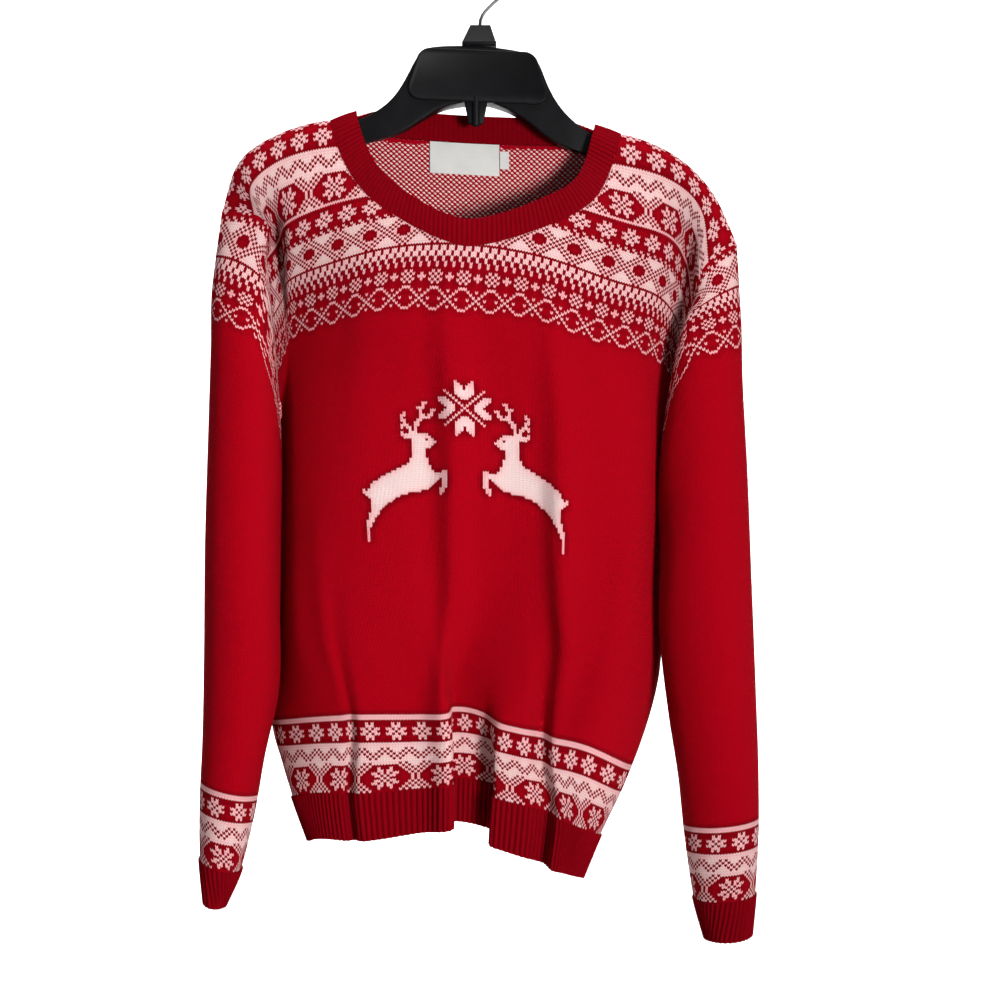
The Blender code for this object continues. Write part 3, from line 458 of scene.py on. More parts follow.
# A leaping deer facing the centre line: filled shapes and strokes in stitches and rows from the star.
deerShapes = (
    ((-19.4, 12), (-14.8, 12), (-14.7, 19), (-12.6, 24), (-10.4, 28.4), (-11.2, 31), (-15, 33.8), (-21, 35),
     (-26, 36.4), (-30, 39.8), (-34, 44.2), (-36.2, 45.4), (-35.7, 39), (-36.3, 33.6), (-34.8, 30.4),
     (-31, 27.6), (-25, 25), (-21, 22.4), (-19.2, 19)),
    ((-19.5, 10.4), (-15, 10.2), (-12.4, 11.8), (-10.5, 14.2), (-11.6, 15.8), (-15, 16.4), (-19.5, 15)),
)
deerEye = (-14, 13)
deerStrokes = (
    # fromX, fromY, toX, toY, width
    (-12, 28.8, -7.8, 26.8, 2.4), (-7.8, 26.8, -7.4, 32, 1.7), (-7.4, 32, -9, 34.3, 1.6),
    (-35, 43.5, -36.8, 48, 2.2), (-36.8, 48, -37.3, 53.5, 1.25), (-36, 35.6, -38.2, 32.8, 1.5),
    (-19.5, 11.8, -22.8, 10.8, 1.9), (-18.6, 10.4, -17.5, 6.4, 1.5), (-17.5, 6.4, -15.4, 4.2, 1.5),
    (-15.4, 4.2, -16, 1, 1.4), (-16, 1, -14.6, -1.6, 1.5), (-16, 1, -17.4, -0.4, 1.3),
    (-15.4, 4.2, -12.6, 3.4, 1.3), (-12.6, 3.4, -11.2, 0.8, 1.3), (-19.4, 10, -21.2, 7, 1.4),
    (-21.2, 7, -23, 4.8, 1.3), (-23, 4.8, -22.2, 2.6, 1.3), (-21.2, 7, -23.2, 7.6, 1.2),
)
# Row of the front with the star's middle, and the first row of the yoke that the sleeves show.
starRow = 125
sleeveYokeFrom = 43


def deerAt(s, r):
    on = np.zeros(s.shape, bool)
    for shape in deerShapes:
        inside = np.zeros(s.shape, bool)
        for (ax, ay), (bx, by) in zip(shape, shape[1:] + shape[:1]):
            if ay != by:
                crossing = (ay > r) != (by > r)
                inside ^= crossing & (s < (bx - ax) * (r - ay) / (by - ay) + ax)
        on |= inside
    for ax, ay, bx, by, wide in deerStrokes:
        long = (bx - ax) ** 2 + (by - ay) ** 2
        part = np.clip(((s - ax) * (bx - ax) + (r - ay) * (by - ay)) / long, 0, 1)
        gap = np.hypot(s - ax - part * (bx - ax), r - ay - part * (by - ay))
        on |= gap < wide / 2
    return on & ~((s == deerEye[0]) & (r == deerEye[1]))


def bodyChart(figures):
    s = np.arange(-panel["halfStitches"], panel["halfStitches"])
    cells = np.zeros((panel["rows"], len(s)))
    yoke = yokeChart(s)
    hem = hemChart(s)
    cells[:len(yoke)] = yoke
    cells[-len(hem):] = hem
    if figures:
        across, down = np.meshgrid(s, np.arange(panel["rows"]) - starRow)
        cells = np.maximum(cells, starAt(across, down))
        cells = np.maximum(cells, deerAt(across, down) | deerAt(-across, down))
    return cells


def sleeveChart(rows, half):
    s = np.arange(-half, half)
    cells = np.zeros((rows, len(s)))
    yoke = yokeChart(s)[sleeveYokeFrom:]
    hem = hemChart(s)
    cells[:len(yoke)] = yoke
    cells[-len(hem):] = hem
    return cells


# Grids of the pieces. Each one: points, knit coordinates, cells, and the ways in from its seams.
pieces = {}


def addPiece(name, grid, uv, cells=None, flip=False, ring=False, into=None, **more):
    # the back is flipped so that its outer side faces away from the front
    if flip:
        grid = grid[:, ::-1]
        uv = uv[:, ::-1]
        cells = None if cells is None else cells[:, ::-1]
        into = {key: value[:, ::-1] for key, value in (into or {}).items()}
    pieces[name] = dict(grid=grid, uv=uv, cells=cells, ring=ring, into=into or {}, **more)


def waysIn(grid, top=0, bottom=0, sides=0):
    # ways inward from the edges of a grid, each found over so many rows or columns
    asked = (("top", top), ("bottom", bottom), ("sides", sides))
    into = {key: np.zeros_like(grid) for key, steps in asked if steps}
    if top:
        into["top"][0] = grid[top] - grid[0]
    if bottom:
        into["bottom"][-1] = grid[-1 - bottom] - grid[-1]
    if sides:
        into["sides"][:, 0] = grid[:, sides] - grid[:, 0]
        into["sides"][:, -1] = grid[:, -1 - sides] - grid[:, -1]
    return into


def panelPiece(name, side):
    reach = shell["reach"]
    s = np.arange(-panel["halfStitches"], panel["halfStitches"] + 1)
    r = np.arange(panel["rows"] + 1)
    across = np.broadcast_to(s * stitch, (len(r), len(s)))
    top = neckCourse(s * stitch, side)
    down = np.maximum(r[:, None] * rowHeight, top[None, :])
    grid = onPanel(side, across, down)
    uv = np.stack([across / stitch, -down / rowHeight], axis=-1)
    step = onPanel(side, across, down + reach) - grid
    atTop = down <= top[None, :] + 0.001
    into = {"top": np.where(atTop[..., None], step, 0)}
    atEnd = down >= panel["length"] - 0.001
    into["bottom"] = np.where(atEnd[..., None], onPanel(side, across, down - reach) - grid, 0)
    ends = np.zeros_like(grid)
    ends[:, 0] = onPanel(side, across[:, 0] + reach, down[:, 0]) - grid[:, 0]
    ends[:, -1] = onPanel(side, across[:, -1] - reach, down[:, -1]) - grid[:, -1]
    into["sides"] = ends
    chart = bodyChart(side == "front")
    addPiece(name, grid, uv, chart, flip=side == "back", into=into, inner=shell["inner"])
    kept = np.sum(np.maximum(down[1:] - down[:-1], 0)) / len(s) * panel["half"] * 2
    pieces[name]["flat"] = (panel["half"] * 2 * mm, panel["length"] * mm)
    pieces[name]["area"] = kept * mm * mm


def hemPiece(name, side):
    ribs, each = ribbing["hem"], ribbing["columns"]
    across = np.linspace(-panel["half"], panel["half"], ribs * each + 1)
    down = panel["length"] + np.linspace(0, panel["hemRib"], ribbing["rows"])
    across, down = np.meshgrid(across, down)
    grid = onPanel(side, across, down)
    uv = np.stack([across / panel["half"] * ribs, (panel["length"] - down) / ribbing["course"]], axis=-1)
    into = waysIn(grid, top=1, sides=ribbing["reach"])
    addPiece(name, grid, uv, flip=side == "back", into=into, inner=each, rise=ribbing["rise"])
    pieces[name]["flat"] = (panel["half"] * 2 * mm, panel["hemRib"] * mm)


def ringAt(row, side, shares):
    down, outer, inner, front, back, up, fall, under, groove = row
    # points of a sleeve's section at shares of the cloth round it, in millimetres
    angles = np.linspace(0, 2 * math.pi, samples["section"])
    turned = np.where(angles > math.pi, 2 * math.pi - angles, angles)
    inward = (1 - np.cos(angles)) / 2
    reach = inner - side * groove * sleeveCut["lobe"]
    across = outer + (reach - outer) * inward
    fromGroove = (angles - math.pi - sleeveCut["grooveAt"]) / sleeveCut["groove"]
    across += side * groove * np.exp(-fromGroove ** 2)
    depth = (front + back) / 2 - (back - front) / 2 * np.sin(angles)
    hidden = ease((turned - math.radians(underarmFrom)) / math.radians(180 - underarmFrom))
    points = np.stack([across, depth, up - fall * inward - under * hidden], axis=-1)
    level = points[:, :2]
    length = np.concatenate([[0], np.cumsum(np.linalg.norm(np.diff(level, axis=0), axis=1))])
    half = length[-1] / 2
    share = min(down / sleeves[side][-2][0], 1)
    cloth = max((sleeveCut["top"] + (sleeveCut["cuff"] - sleeveCut["top"]) * share) / 2, half)
    openFace = min(sleeveCut["openFace"], half * sleeveCut["openShare"])
    folded = np.minimum(shares, 1 - shares) * 2 * cloth
    beyond = np.clip((folded - openFace) / (cloth - openFace), 0, 1)
    lost = (cloth - half) * (sleeveCut["even"] * beyond + (1 - sleeveCut["even"]) * ease(beyond))
    along = np.where(shares > 0.5, length[-1] - folded + lost, folded - lost)
    return np.stack([np.interp(along, length, points[:, axis]) for axis in range(3)], axis=-1)


def armSurface(side, downs, shares):
    # sleeve points: one row for each distance down, shares of the way round from the outer edge
    fine = np.linspace(0, 1, samples["around"])
    course = np.minimum(fine, 1 - fine) * 2 * panel["armhole"]
    edge = np.full(len(fine), side * panel["half"])
    first = np.where((fine > 0.5)[:, None], onPanel("back", edge, course), onPanel("front", edge, course))
    rows = sleeves[side]
    rings = [first] + [ringAt(row, side, fine) * mm for row in rows]
    stations = [0.0] + [row[0] for row in rows]
    dense = through(stations, np.stack(rings), downs)
    out = np.empty((len(downs), shares.shape[1], 3))
    for row in range(len(downs)):
        for axis in range(3):
            out[row, :, axis] = np.interp(shares[row], fine, dense[row, :, axis])
    return out


def sleevePiece(name, side):
    long = sleeves[side][-2][0]
    rows = int(round(long / rowHeight))
    half = int(round(sleeveCut["top"] / 2 / stitch))
    s = np.arange(-half, half + 1)
    downs = np.arange(rows + 1) * long / rows
    cloth = (sleeveCut["top"] + (sleeveCut["cuff"] - sleeveCut["top"]) * downs / long) / 2
    reach = np.minimum(np.abs(s)[None, :] * stitch, cloth[:, None])
    reach[:, 0] = cloth
    reach[:, -1] = cloth
    share = reach / (2 * cloth[:, None])
    shares = np.where(s[None, :] < 0, 1 - share, share)
    if side > 0:
        shares = 1 - shares
    grid = armSurface(side, downs, np.clip(shares, 0, 1))
    signed = np.where(s[None, :] < 0, -reach, reach)
    uv = np.stack([signed / stitch, np.broadcast_to(-downs[:, None] / long * rows, signed.shape)], axis=-1)
    into = waysIn(grid, top=1, bottom=1)
    addPiece(name, grid, uv, sleeveChart(rows, half), ring=True, into=into, inner=shell["inner"])
    pieces[name]["flat"] = (sleeveCut["top"] * mm, long * mm)
    pieces[name]["area"] = (sleeveCut["top"] + sleeveCut["cuff"]) / 2 * long * mm * mm


def cuffPiece(name, side):
    top, end = sleeves[side][-2][0], sleeves[side][-1][0]
    ribs, each = ribbing["cuff"], ribbing["columns"]
    shares = 0.5 + np.linspace(0, 1, ribs * each + 1)
    shares = np.where(shares > 1, shares - 1, shares)
    if side > 0:
        shares = 1 - shares
    downs = np.linspace(top, end, ribbing["rows"])
    grid = armSurface(side, downs, np.broadcast_to(shares, (len(downs), len(shares))))
    grid[:, -1] = grid[:, 0]
    u = np.linspace(0, 2 * ribs, ribs * each + 1)
    uv = np.stack(np.meshgrid(u, (top - downs) / ribbing["course"]), axis=-1)
    into = waysIn(grid, top=1)
    addPiece(name, grid, uv, ring=True, into=into, inner=each, rise=ribbing["rise"])
    pieces[name]["flat"] = (sleeveCut["cuff"] * mm, (end - top) * mm)


def bandPiece(name, side):
    late, lean = neckTurn[side]
    dense = np.linspace(-neck["half"], neck["half"], samples["neck"])
    line = onPanel(side, dense, neckCourse(dense, side))
    run = np.concatenate([[0], np.cumsum(np.linalg.norm(np.diff(line, axis=0), axis=1))])
    ribs, each = int(round(run[-1] / mm / neckRibbing["rib"])), ribbing["columns"]
    across = np.interp(np.linspace(0, run[-1], ribs * each + 1), run, dense)
    seam = onPanel(side, across, neckCourse(across, side))
    aside = across / neck["half"]
    tilt = np.radians(90 - neckTurn["turn"] * np.abs(aside) ** late)
    way = np.stack([-np.sign(aside) * np.cos(tilt), lean * (1 - np.abs(aside) ** 3), np.sin(tilt)], axis=-1)
    way /= np.linalg.norm(way, axis=1)[:, None]
    steps = np.linspace(1, 0, neckRibbing["rows"])
    grid = seam[None] + steps[:, None, None] * way[None] * neck["band"] * mm
    u = np.linspace(0, 2 * ribs, ribs * each + 1)
    uv = np.stack(np.meshgrid(u, steps * neck["band"] / neckRibbing["course"]), axis=-1)
    into = waysIn(grid, bottom=1, sides=neckRibbing["reach"])
    addPiece(name, grid, uv, flip=side == "back", into=into, inner=each, rise=neckRibbing["rise"])
    pieces[name]["puff"] = neckRibbing["puff"]
    pieces[name]["flat"] = (float(run[-1]), neck["band"] * mm)


panelPiece("front_cloth", "front")
panelPiece("back_cloth", "back")
hemPiece("hem_front_cloth", "front")
hemPiece("hem_back_cloth", "back")
for side, word in ((-1, "right"), (1, "left")):
    sleevePiece("sleeve_" + word + "_cloth", side)
    cuffPiece("cuff_" + word + "_cloth", side)
bandPiece("neckband_front_cloth", "front")
bandPiece("neckband_back_cloth", "back")
print("grids", {name: piece["grid"].shape[:2] for name, piece in pieces.items()})


# Shared normals, so that walls of neighbouring pieces meet at their seams.
def quadNormals(grid):
    return np.cross(grid[1:, 1:] - grid[:-1, :-1], grid[:-1, 1:] - grid[1:, :-1])


allPoints = np.concatenate([piece["grid"].reshape(-1, 3) for piece in pieces.values()])
places, where = np.unique(np.round(allPoints * 1e6).astype(np.int64), axis=0, return_inverse=True)
where = where.ravel()
total = np.zeros((len(places), 3))
start = 0
for piece in pieces.values():
    rows, columns = piece["grid"].shape[:2]
    index = where[start:start + rows * columns].reshape(rows, columns)
    quads = quadNormals(piece["grid"])
    for corner in (index[:-1, :-1], index[:-1, 1:], index[1:, :-1], index[1:, 1:]):
        np.add.at(total, corner.ravel(), quads.reshape(-1, 3))
    piece["index"] = index
    start += rows * columns
size = np.linalg.norm(total, axis=1)
total /= np.maximum(size, 1e-15)[:, None]
for piece in pieces.values():
    piece["normals"] = total[piece["index"]]


def unit(v):
    return v / np.maximum(np.linalg.norm(v, axis=-1), 1e-12)[..., None]


# At the armholes the rows of body and sleeve fall at different heights, so they share by course,
# and turn to straight down at the underarm over this far above and below it.
fadeAbove, fadeBelow = 12, 8
for side, word in ((-1, "right"), (1, "left")):
    arm = pieces["sleeve_" + word + "_cloth"]
    ring = arm["normals"][0]
    half = (len(ring) - 1) // 2
    reach = np.abs(arm["uv"][0, :, 0]) * stitch
    courses = np.arange(panel["rows"] + 1) * rowHeight
    held = courses <= panel["armhole"] + 1
    for name, flipped in (("front_cloth", False), ("back_cloth", True)):
        edge = 0 if (side < 0) != flipped else -1
        own = pieces[name]["normals"][:, edge]
        onFront = name == "front_cloth"
        ringNormals = ring[half:] if (side < 0) == onFront else ring[half::-1]
        ringReach = reach[half:] if (side < 0) == onFront else reach[half::-1]
        other = np.stack([np.interp(courses, ringReach, ringNormals[:, a]) for a in range(3)], axis=-1)
        both = unit(unit(own) + unit(other))
        above = ease((panel["armhole"] - courses) / fadeAbove)[:, None]
        down = np.array([0.0, 0.0, -1.0])
        both = unit(both * above + down * (1 - above))
        below = ease(np.maximum(courses - panel["armhole"], 0) / fadeBelow)[:, None]
        freed = unit(own * below + down * (1 - below))
        pieces[name]["normals"][:, edge] = np.where(held[:, None], both, freed)
        back = np.stack([np.interp(ringReach, courses[held], both[held, a]) for a in range(3)], axis=-1)
        if (side < 0) == onFront:
            ring[half:] = unit(back)
        else:
            ring[half::-1] = unit(back)


def ribProfile(phase):
    # rise of one knit rib and its valley over a phase of 0 to 1
    return (0.5 - 0.5 * np.cos(2 * np.pi * phase)) ** ribPower


def buildCloth(name, materials, wall=shell["wall"]):
    # closed shell: fine outer grid, coarser inner grid, and a rim along each open edge
    piece = pieces[name]
    grid = piece["grid"].copy()
    normals = piece["normals"]
    uv = piece["uv"]
    for way in piece["into"].values():
        moved = np.linalg.norm(way, axis=-1) > 1e-9
        grid[moved] += unit(way[moved]) * shell["seam"] * mm
    rows, columns = grid.shape[:2]
    each = piece["inner"]
    under = grid - normals * wall * mm
    if "rise" in piece:
        phase = uv[..., 0] / 2
        lift = ribProfile(phase - np.floor(phase)) * piece["rise"]
        lift += piece.get("puff", 0) * np.sin(np.linspace(0, math.pi, rows))[:, None]
        grid = grid + normals * lift[..., None] * mm
    pickRows = np.unique(np.append(np.arange(0, rows, each), rows - 1))
    pickColumns = np.unique(np.append(np.arange(0, columns, each), columns - 1))
    inner = under[np.ix_(pickRows, pickColumns)]
    innerUv = uv[np.ix_(pickRows, pickColumns)]
    verts = np.concatenate([grid.reshape(-1, 3), inner.reshape(-1, 3)])
    vertUv = np.concatenate([uv.reshape(-1, 2), innerUv.reshape(-1, 2)])
    index = np.arange(rows * columns).reshape(rows, columns)
    below = rows * columns + np.arange(inner.shape[0] * inner.shape[1]).reshape(inner.shape[:2])
    faces = np.stack([index[:-1, :-1], index[1:, :-1], index[1:, 1:], index[:-1, 1:]], axis=-1).reshape(-1, 4)
    back = np.stack([below[:-1, 1:], below[1:, 1:], below[1:, :-1], below[:-1, :-1]], axis=-1).reshape(-1, 4)
    allFaces = faces.tolist() + back.tolist()
    rims = []
    edges = [(index[0], below[0], pickColumns, 1), (index[-1], below[-1], pickColumns, -1)]
    if not piece["ring"]:
        edges += [(index[:, 0], below[:, 0], pickRows, -1), (index[:, -1], below[:, -1], pickRows, 1)]
    for line, deep, picks, way in edges:
        for place in range(len(picks) - 1):
            loop = [int(v) for v in line[picks[place]:picks[place + 1] + 1]]
            loop += [int(deep[place + 1]), int(deep[place])]
            rims.append(loop if way > 0 else loop[::-1])
    allFaces += rims
    mesh = bpy.data.meshes.new(name)
    mesh.from_pydata(verts.tolist(), [], allFaces)
    cells = piece["cells"]
    yarn = np.zeros((len(allFaces), 3))
    if cells is not None:
        # own cell, the one below, and the share of light cells around
        lower = np.concatenate([cells[1:], np.zeros((1, cells.shape[1]))])
        yarn[:len(faces), 0] = cells.ravel()
        yarn[:len(faces), 1] = lower.ravel()
        around = np.pad(cells, 2, mode="edge")
        spans = [around[a:a + cells.shape[0], b:b + cells.shape[1]] for a in range(5) for b in range(5)]
        yarn[:len(faces), 2] = (sum(spans) / 25).ravel()
    mesh.attributes.new("yarn", "FLOAT_VECTOR", "FACE").data.foreach_set("vector", yarn.ravel())
    layer = mesh.uv_layers.new(name="knit")
    corner = np.empty(len(mesh.loops), np.int64)
    mesh.loops.foreach_get("vertex_index", corner)
    layer.data.foreach_set("uv", vertUv[corner].ravel())
    slots = np.zeros(len(allFaces), np.int32)
    slots[len(faces):len(faces) + len(back)] = 1
    mesh.polygons.foreach_set("material_index", slots)
    mesh.polygons.foreach_set("use_smooth", np.ones(len(allFaces), bool))
    for material in materials:
        mesh.materials.append(material)
    work = bmesh.new()
    work.from_mesh(mesh)
    bmesh.ops.remove_doubles(work, verts=work.verts[:], dist=2e-6)
    bmesh.ops.dissolve_degenerate(work, dist=1e-6, edges=work.edges[:])
    bmesh.ops.recalc_face_normals(work, faces=work.faces[:])
    for edge in work.edges:
        if len(edge.link_faces) == 2 and edge.calc_face_angle(0) > shell["sharp"]:
            edge.smooth = False
    work.to_mesh(mesh)
    work.free()
    item = bpy.data.objects.new(name, mesh)
    bpy.context.scene.collection.objects.link(item)
    return item


# Materials.
def newTree(name):
    material = bpy.data.materials.new(name)
    material.use_nodes = True
    tree = material.node_tree
    return material, tree, tree.nodes["Principled BSDF"]


def value(tree, operation, *inputs):
    # a math node with sockets or numbers as inputs
    node = tree.nodes.new("ShaderNodeMath")
    node.operation = operation
    for slot, item in enumerate(inputs):
        if isinstance(item, (int, float)):
            node.inputs[slot].default_value = item
        else:
            tree.links.new(item, node.inputs[slot])
    return node.outputs[0]


def blend(tree, amount, first, second):
    # a mix of two colours, each a socket or a value
    node = tree.nodes.new("ShaderNodeMix")
    node.data_type = "RGBA"
    for slot, item in ((0, amount), (6, first), (7, second)):
        if isinstance(item, (int, float, tuple)):
            node.inputs[slot].default_value = item
        else:
            tree.links.new(item, node.inputs[slot])
    return node.outputs[2]


def split(tree, vector):
    node = tree.nodes.new("ShaderNodeSeparateXYZ")
    tree.links.new(vector, node.inputs[0])
    return node.outputs


def knitPlace(tree):
    # stitches across and rows up
    node = tree.nodes.new("ShaderNodeUVMap")
    node.uv_map = "knit"
    return split(tree, node.outputs[0])[:2]


def ramp(tree, item, low, high):
    # 0 at low to 1 at high
    node = tree.nodes.new("ShaderNodeMapRange")
    tree.links.new(item, node.inputs["Value"])
    node.inputs["From Min"].default_value = low
    node.inputs["From Max"].default_value = high
    return node.outputs[0]


def dress(tree, shader, colour, height, relief, **more):
    # colour, relief in metres and plain inputs by name, with _ for a space
    tree.links.new(colour, shader.inputs["Base Color"])
    tree.links.new(bump(tree, height, relief), shader.inputs["Normal"])
    for name, item in more.items():
        shader.inputs[name.replace("_", " ")].default_value = item


def noise(tree, scale, detail=2.0, where=None):
    node = tree.nodes.new("ShaderNodeTexNoise")
    node.inputs["Scale"].default_value = scale
    node.inputs["Detail"].default_value = detail
    if where is None:
        where = tree.nodes.new("ShaderNodeTexCoord").outputs["Object"]
    tree.links.new(where, node.inputs["Vector"])
    return node.outputs["Fac"]


def bump(tree, height, distance):
    node = tree.nodes.new("ShaderNodeBump")
    node.inputs["Distance"].default_value = distance
    node.inputs["Strength"].default_value = 1.0
    tree.links.new(height, node.inputs["Height"])
    return node.outputs["Normal"]


# A loop: slant of its legs, sink and turn-in of its ends, turns and height of the yarn's twist, and
# the heights between which the gap opens.
loop = {"slant": 0.6, "sink": -0.55, "ends": 3.0, "twist": 12.57, "strands": 0.05, "gap": (0.75, 0.25)}


def stitchGroup():
    # loops of stocking stitch from the knit coordinates: yarn pick, loop height and gap between loops
    group = bpy.data.node_groups.new("stocking_stitch", "ShaderNodeTree")
    face = group.interface
    for socket in ("Across", "Up", "Own", "Lower"):
        face.new_socket(socket, in_out="INPUT", socket_type="NodeSocketFloat")
    for socket in ("Yarn", "Height", "Gap"):
        face.new_socket(socket, in_out="OUTPUT", socket_type="NodeSocketFloat")
    inside = group.nodes.new("NodeGroupInput").outputs
    out = group.nodes.new("NodeGroupOutput").inputs
    column = value(group, "FRACT", inside["Across"])
    vee = value(group, "ABSOLUTE", value(group, "MULTIPLY_ADD", column, 2.0, -1.0))
    up = value(group, "SUBTRACT", inside["Up"], value(group, "MULTIPLY", vee, loop["slant"]))
    floor = value(group, "FLOOR", inside["Up"])
    fromLower = value(group, "LESS_THAN", up, floor)
    pick = group.nodes.new("ShaderNodeMix")
    group.links.new(fromLower, pick.inputs[0])
    group.links.new(inside["Own"], pick.inputs[2])
    group.links.new(inside["Lower"], pick.inputs[3])
    group.links.new(pick.outputs[0], out["Yarn"])
    inLeg = value(group, "FRACT", value(group, "MULTIPLY", column, 2.0))
    leg = value(group, "MULTIPLY_ADD", inLeg, 2.0, -1.0)
    rounded = value(group, "SQRT", value(group, "SUBTRACT", 1.02, value(group, "MULTIPLY", leg, leg)))
    row = value(group, "MULTIPLY_ADD", value(group, "FRACT", up), 2.0, -1.0)
    ends = value(group, "POWER", value(group, "ABSOLUTE", row), loop["ends"])
    height = value(group, "MULTIPLY", rounded, value(group, "MULTIPLY_ADD", ends, loop["sink"], 1.0))
    along = value(group, "ADD", inside["Up"], leg)
    twist = value(group, "SINE", value(group, "MULTIPLY", along, loop["twist"]))
    height = value(group, "MULTIPLY_ADD", twist, loop["strands"], height)
    group.links.new(height, out["Height"])
    group.links.new(ramp(group, height, *loop["gap"]), out["Gap"])
    return group


stockingStitch = stitchGroup()
# Yarns, each with its darker strands, the tinge that red gives to light, and the sheen. The darker red
# strands also colour the painted shade in gaps, rib valleys and next to light stitches, and the rib yarn is a
# darker red that paints shade on hem, cuffs and neckband.
yarns = {
    "red": ((0.42, 0.0006, 0.0075, 1), (0.17, 0.0006, 0.004, 1)),
    "rib": ((0.27, 0.0008, 0.006, 1), (0.1, 0.0004, 0.003, 1)),
    "inside": ((0.36, 0.001, 0.01, 1), (0.17, 0.0006, 0.004, 1)),
    "light": ((0.86, 0.68, 0.66, 1), (0.76, 0.5, 0.49, 1)),
    "floats": (0.7, 0.55, 0.53, 1),
    "tinge": (0.8, 0.17, 0.21, 1),
    "sheen": (1.0, 0.12, 0.16, 1),
}
# Scale and detail of the fuzz. Then how much the darker strands of red and of light show, how much painted
# shade darkens red next to light stitches and how much red tinges light, how dark the painted shade in the
# gaps and valleys is, and how far the fuzz stands up.
fuzzGrain = (900.0, 3.0)
shades = {"red": 0.55, "light": 0.35, "crowdShade": 0.85, "tinge": 0.78, "gap": 0.75, "valleyShade": 0.5, "fuzz": 0.25}


def knitMaterial(name, yarn, relief, ribs=False):
    material, tree, shader = newTree(name)
    # base is the yarn and deep its darker strands, which below also colour the painted shade
    base, deep = yarns[yarn]
    across, up = knitPlace(tree)
    marks = tree.nodes.new("ShaderNodeAttribute")
    marks.attribute_name = "yarn"
    own, lower, share = split(tree, marks.outputs["Vector"])
    stitches = tree.nodes.new("ShaderNodeGroup")
    stitches.node_tree = stockingStitch
    shifted = value(tree, "ADD", across, 0.5) if ribs else across
    for socket, item in (("Across", shifted), ("Up", up), ("Own", own), ("Lower", lower)):
        tree.links.new(item, stitches.inputs[socket])
    fuzz = noise(tree, *fuzzGrain)
    cloud = noise(tree, 25.0, 2.0)
    red = blend(tree, value(tree, "MULTIPLY", fuzz, shades["red"]), base, deep)
    light = blend(tree, value(tree, "MULTIPLY", cloud, shades["light"]), *yarns["light"])
    # next to light stitches red is darkened as painted shade between the stranded stitches, and next to red
    # ones light is tinged with it
    crowdShade = value(tree, "MINIMUM", value(tree, "MULTIPLY", share, 3.0), 1.0)
    red = blend(tree, value(tree, "MULTIPLY", crowdShade, shades["crowdShade"]), red, deep)
    tinge = value(tree, "MULTIPLY_ADD", share, -shades["tinge"], shades["tinge"])
    light = blend(tree, tinge, light, yarns["tinge"])
    colour = blend(tree, stitches.outputs["Yarn"], red, light)
    # painted shade in the gaps between loops; on light stitches it is partly the red yarn behind showing
    # through
    colour = blend(tree, value(tree, "MULTIPLY", stitches.outputs["Gap"], shades["gap"]), colour, deep)
    if ribs:
        # painted shade in the valleys between the ribs
        valleyShade = value(tree, "COSINE", value(tree, "MULTIPLY", across, math.pi))
        valleyShade = value(tree, "MULTIPLY", value(tree, "MAXIMUM", valleyShade, 0.0), shades["valleyShade"])
        colour = blend(tree, valleyShade, colour, deep)
    height = value(tree, "MULTIPLY_ADD", fuzz, shades["fuzz"], stitches.outputs["Height"])
    dress(
        tree, shader, colour, height, relief, Roughness=0.9, Specular_IOR_Level=0.01,
        Sheen_Weight=0.02, Sheen_Roughness=0.5, Sheen_Tint=yarns["sheen"],
    )
    return material


# Floats on the wrong side: rows up between which they lie, how ragged the upper end is, half width and
# half height in a cell, slant, unevenness, soft edge, floor of the relief and the fuzz on it.
floats = {
    "rows": (-88.0, -6.0), "ragged": 3.0, "half": (0.25, 0.44), "slant": 0.3, "uneven": 0.5,
    "edge": (-0.08, 0.12), "low": -0.3, "fuzz": 0.2,
}


def insideMaterial(name):
    # wrong side of the stranded knit: short light floats in a brick pattern, two stitches each
    material, tree, shader = newTree(name)
    u, v = knitPlace(tree)
    (lowest, highest), (halfWide, halfTall) = floats["rows"], floats["half"]
    course = value(tree, "FLOOR", v)
    up = value(tree, "SUBTRACT", value(tree, "FRACT", v), 0.5)
    slanted = value(tree, "MULTIPLY_ADD", up, floats["slant"], value(tree, "ADD", u, course))
    across = value(tree, "SUBTRACT", value(tree, "FRACT", value(tree, "MULTIPLY", slanted, 0.5)), 0.5)
    far = value(tree, "MULTIPLY", value(tree, "MULTIPLY", across, across), 1 / halfWide ** 2)
    far = value(tree, "MULTIPLY_ADD", value(tree, "MULTIPLY", up, up), 1 / halfTall ** 2, far)
    uneven = value(tree, "SUBTRACT", noise(tree, 500.0, 1.0), 0.5)
    uneven = value(tree, "MULTIPLY", uneven, floats["uneven"])
    dome = value(tree, "SUBTRACT", value(tree, "ADD", uneven, 1.0), far)
    dash = ramp(tree, dome, *floats["edge"])
    ragged = value(tree, "MULTIPLY", noise(tree, 300.0, 1.0), floats["ragged"])
    first = value(tree, "LESS_THAN", value(tree, "ADD", v, ragged), highest)
    patterned = value(tree, "MULTIPLY", value(tree, "GREATER_THAN", v, lowest), first)
    light = value(tree, "MULTIPLY", dash, patterned)
    fuzz = noise(tree, *fuzzGrain)
    red = blend(tree, value(tree, "MULTIPLY", fuzz, shades["red"]), *yarns["inside"])
    colour = blend(tree, light, red, yarns["floats"])
    raised = value(tree, "MAXIMUM", dome, floats["low"])
    height = value(tree, "MULTIPLY_ADD", fuzz, floats["fuzz"], raised)
    dress(tree, shader, colour, height, 0.0006, Roughness=0.9, Specular_IOR_Level=0.03)
    return material


knit = knitMaterial("patternedKnit", "red", 0.0007)
# the rib yarn is the body's red darkened, painted shade on hem, cuffs and neckband
ribKnit = knitMaterial("ribKnit", "rib", 0.0006, ribs=True)
knitInside = insideMaterial("knitInside")

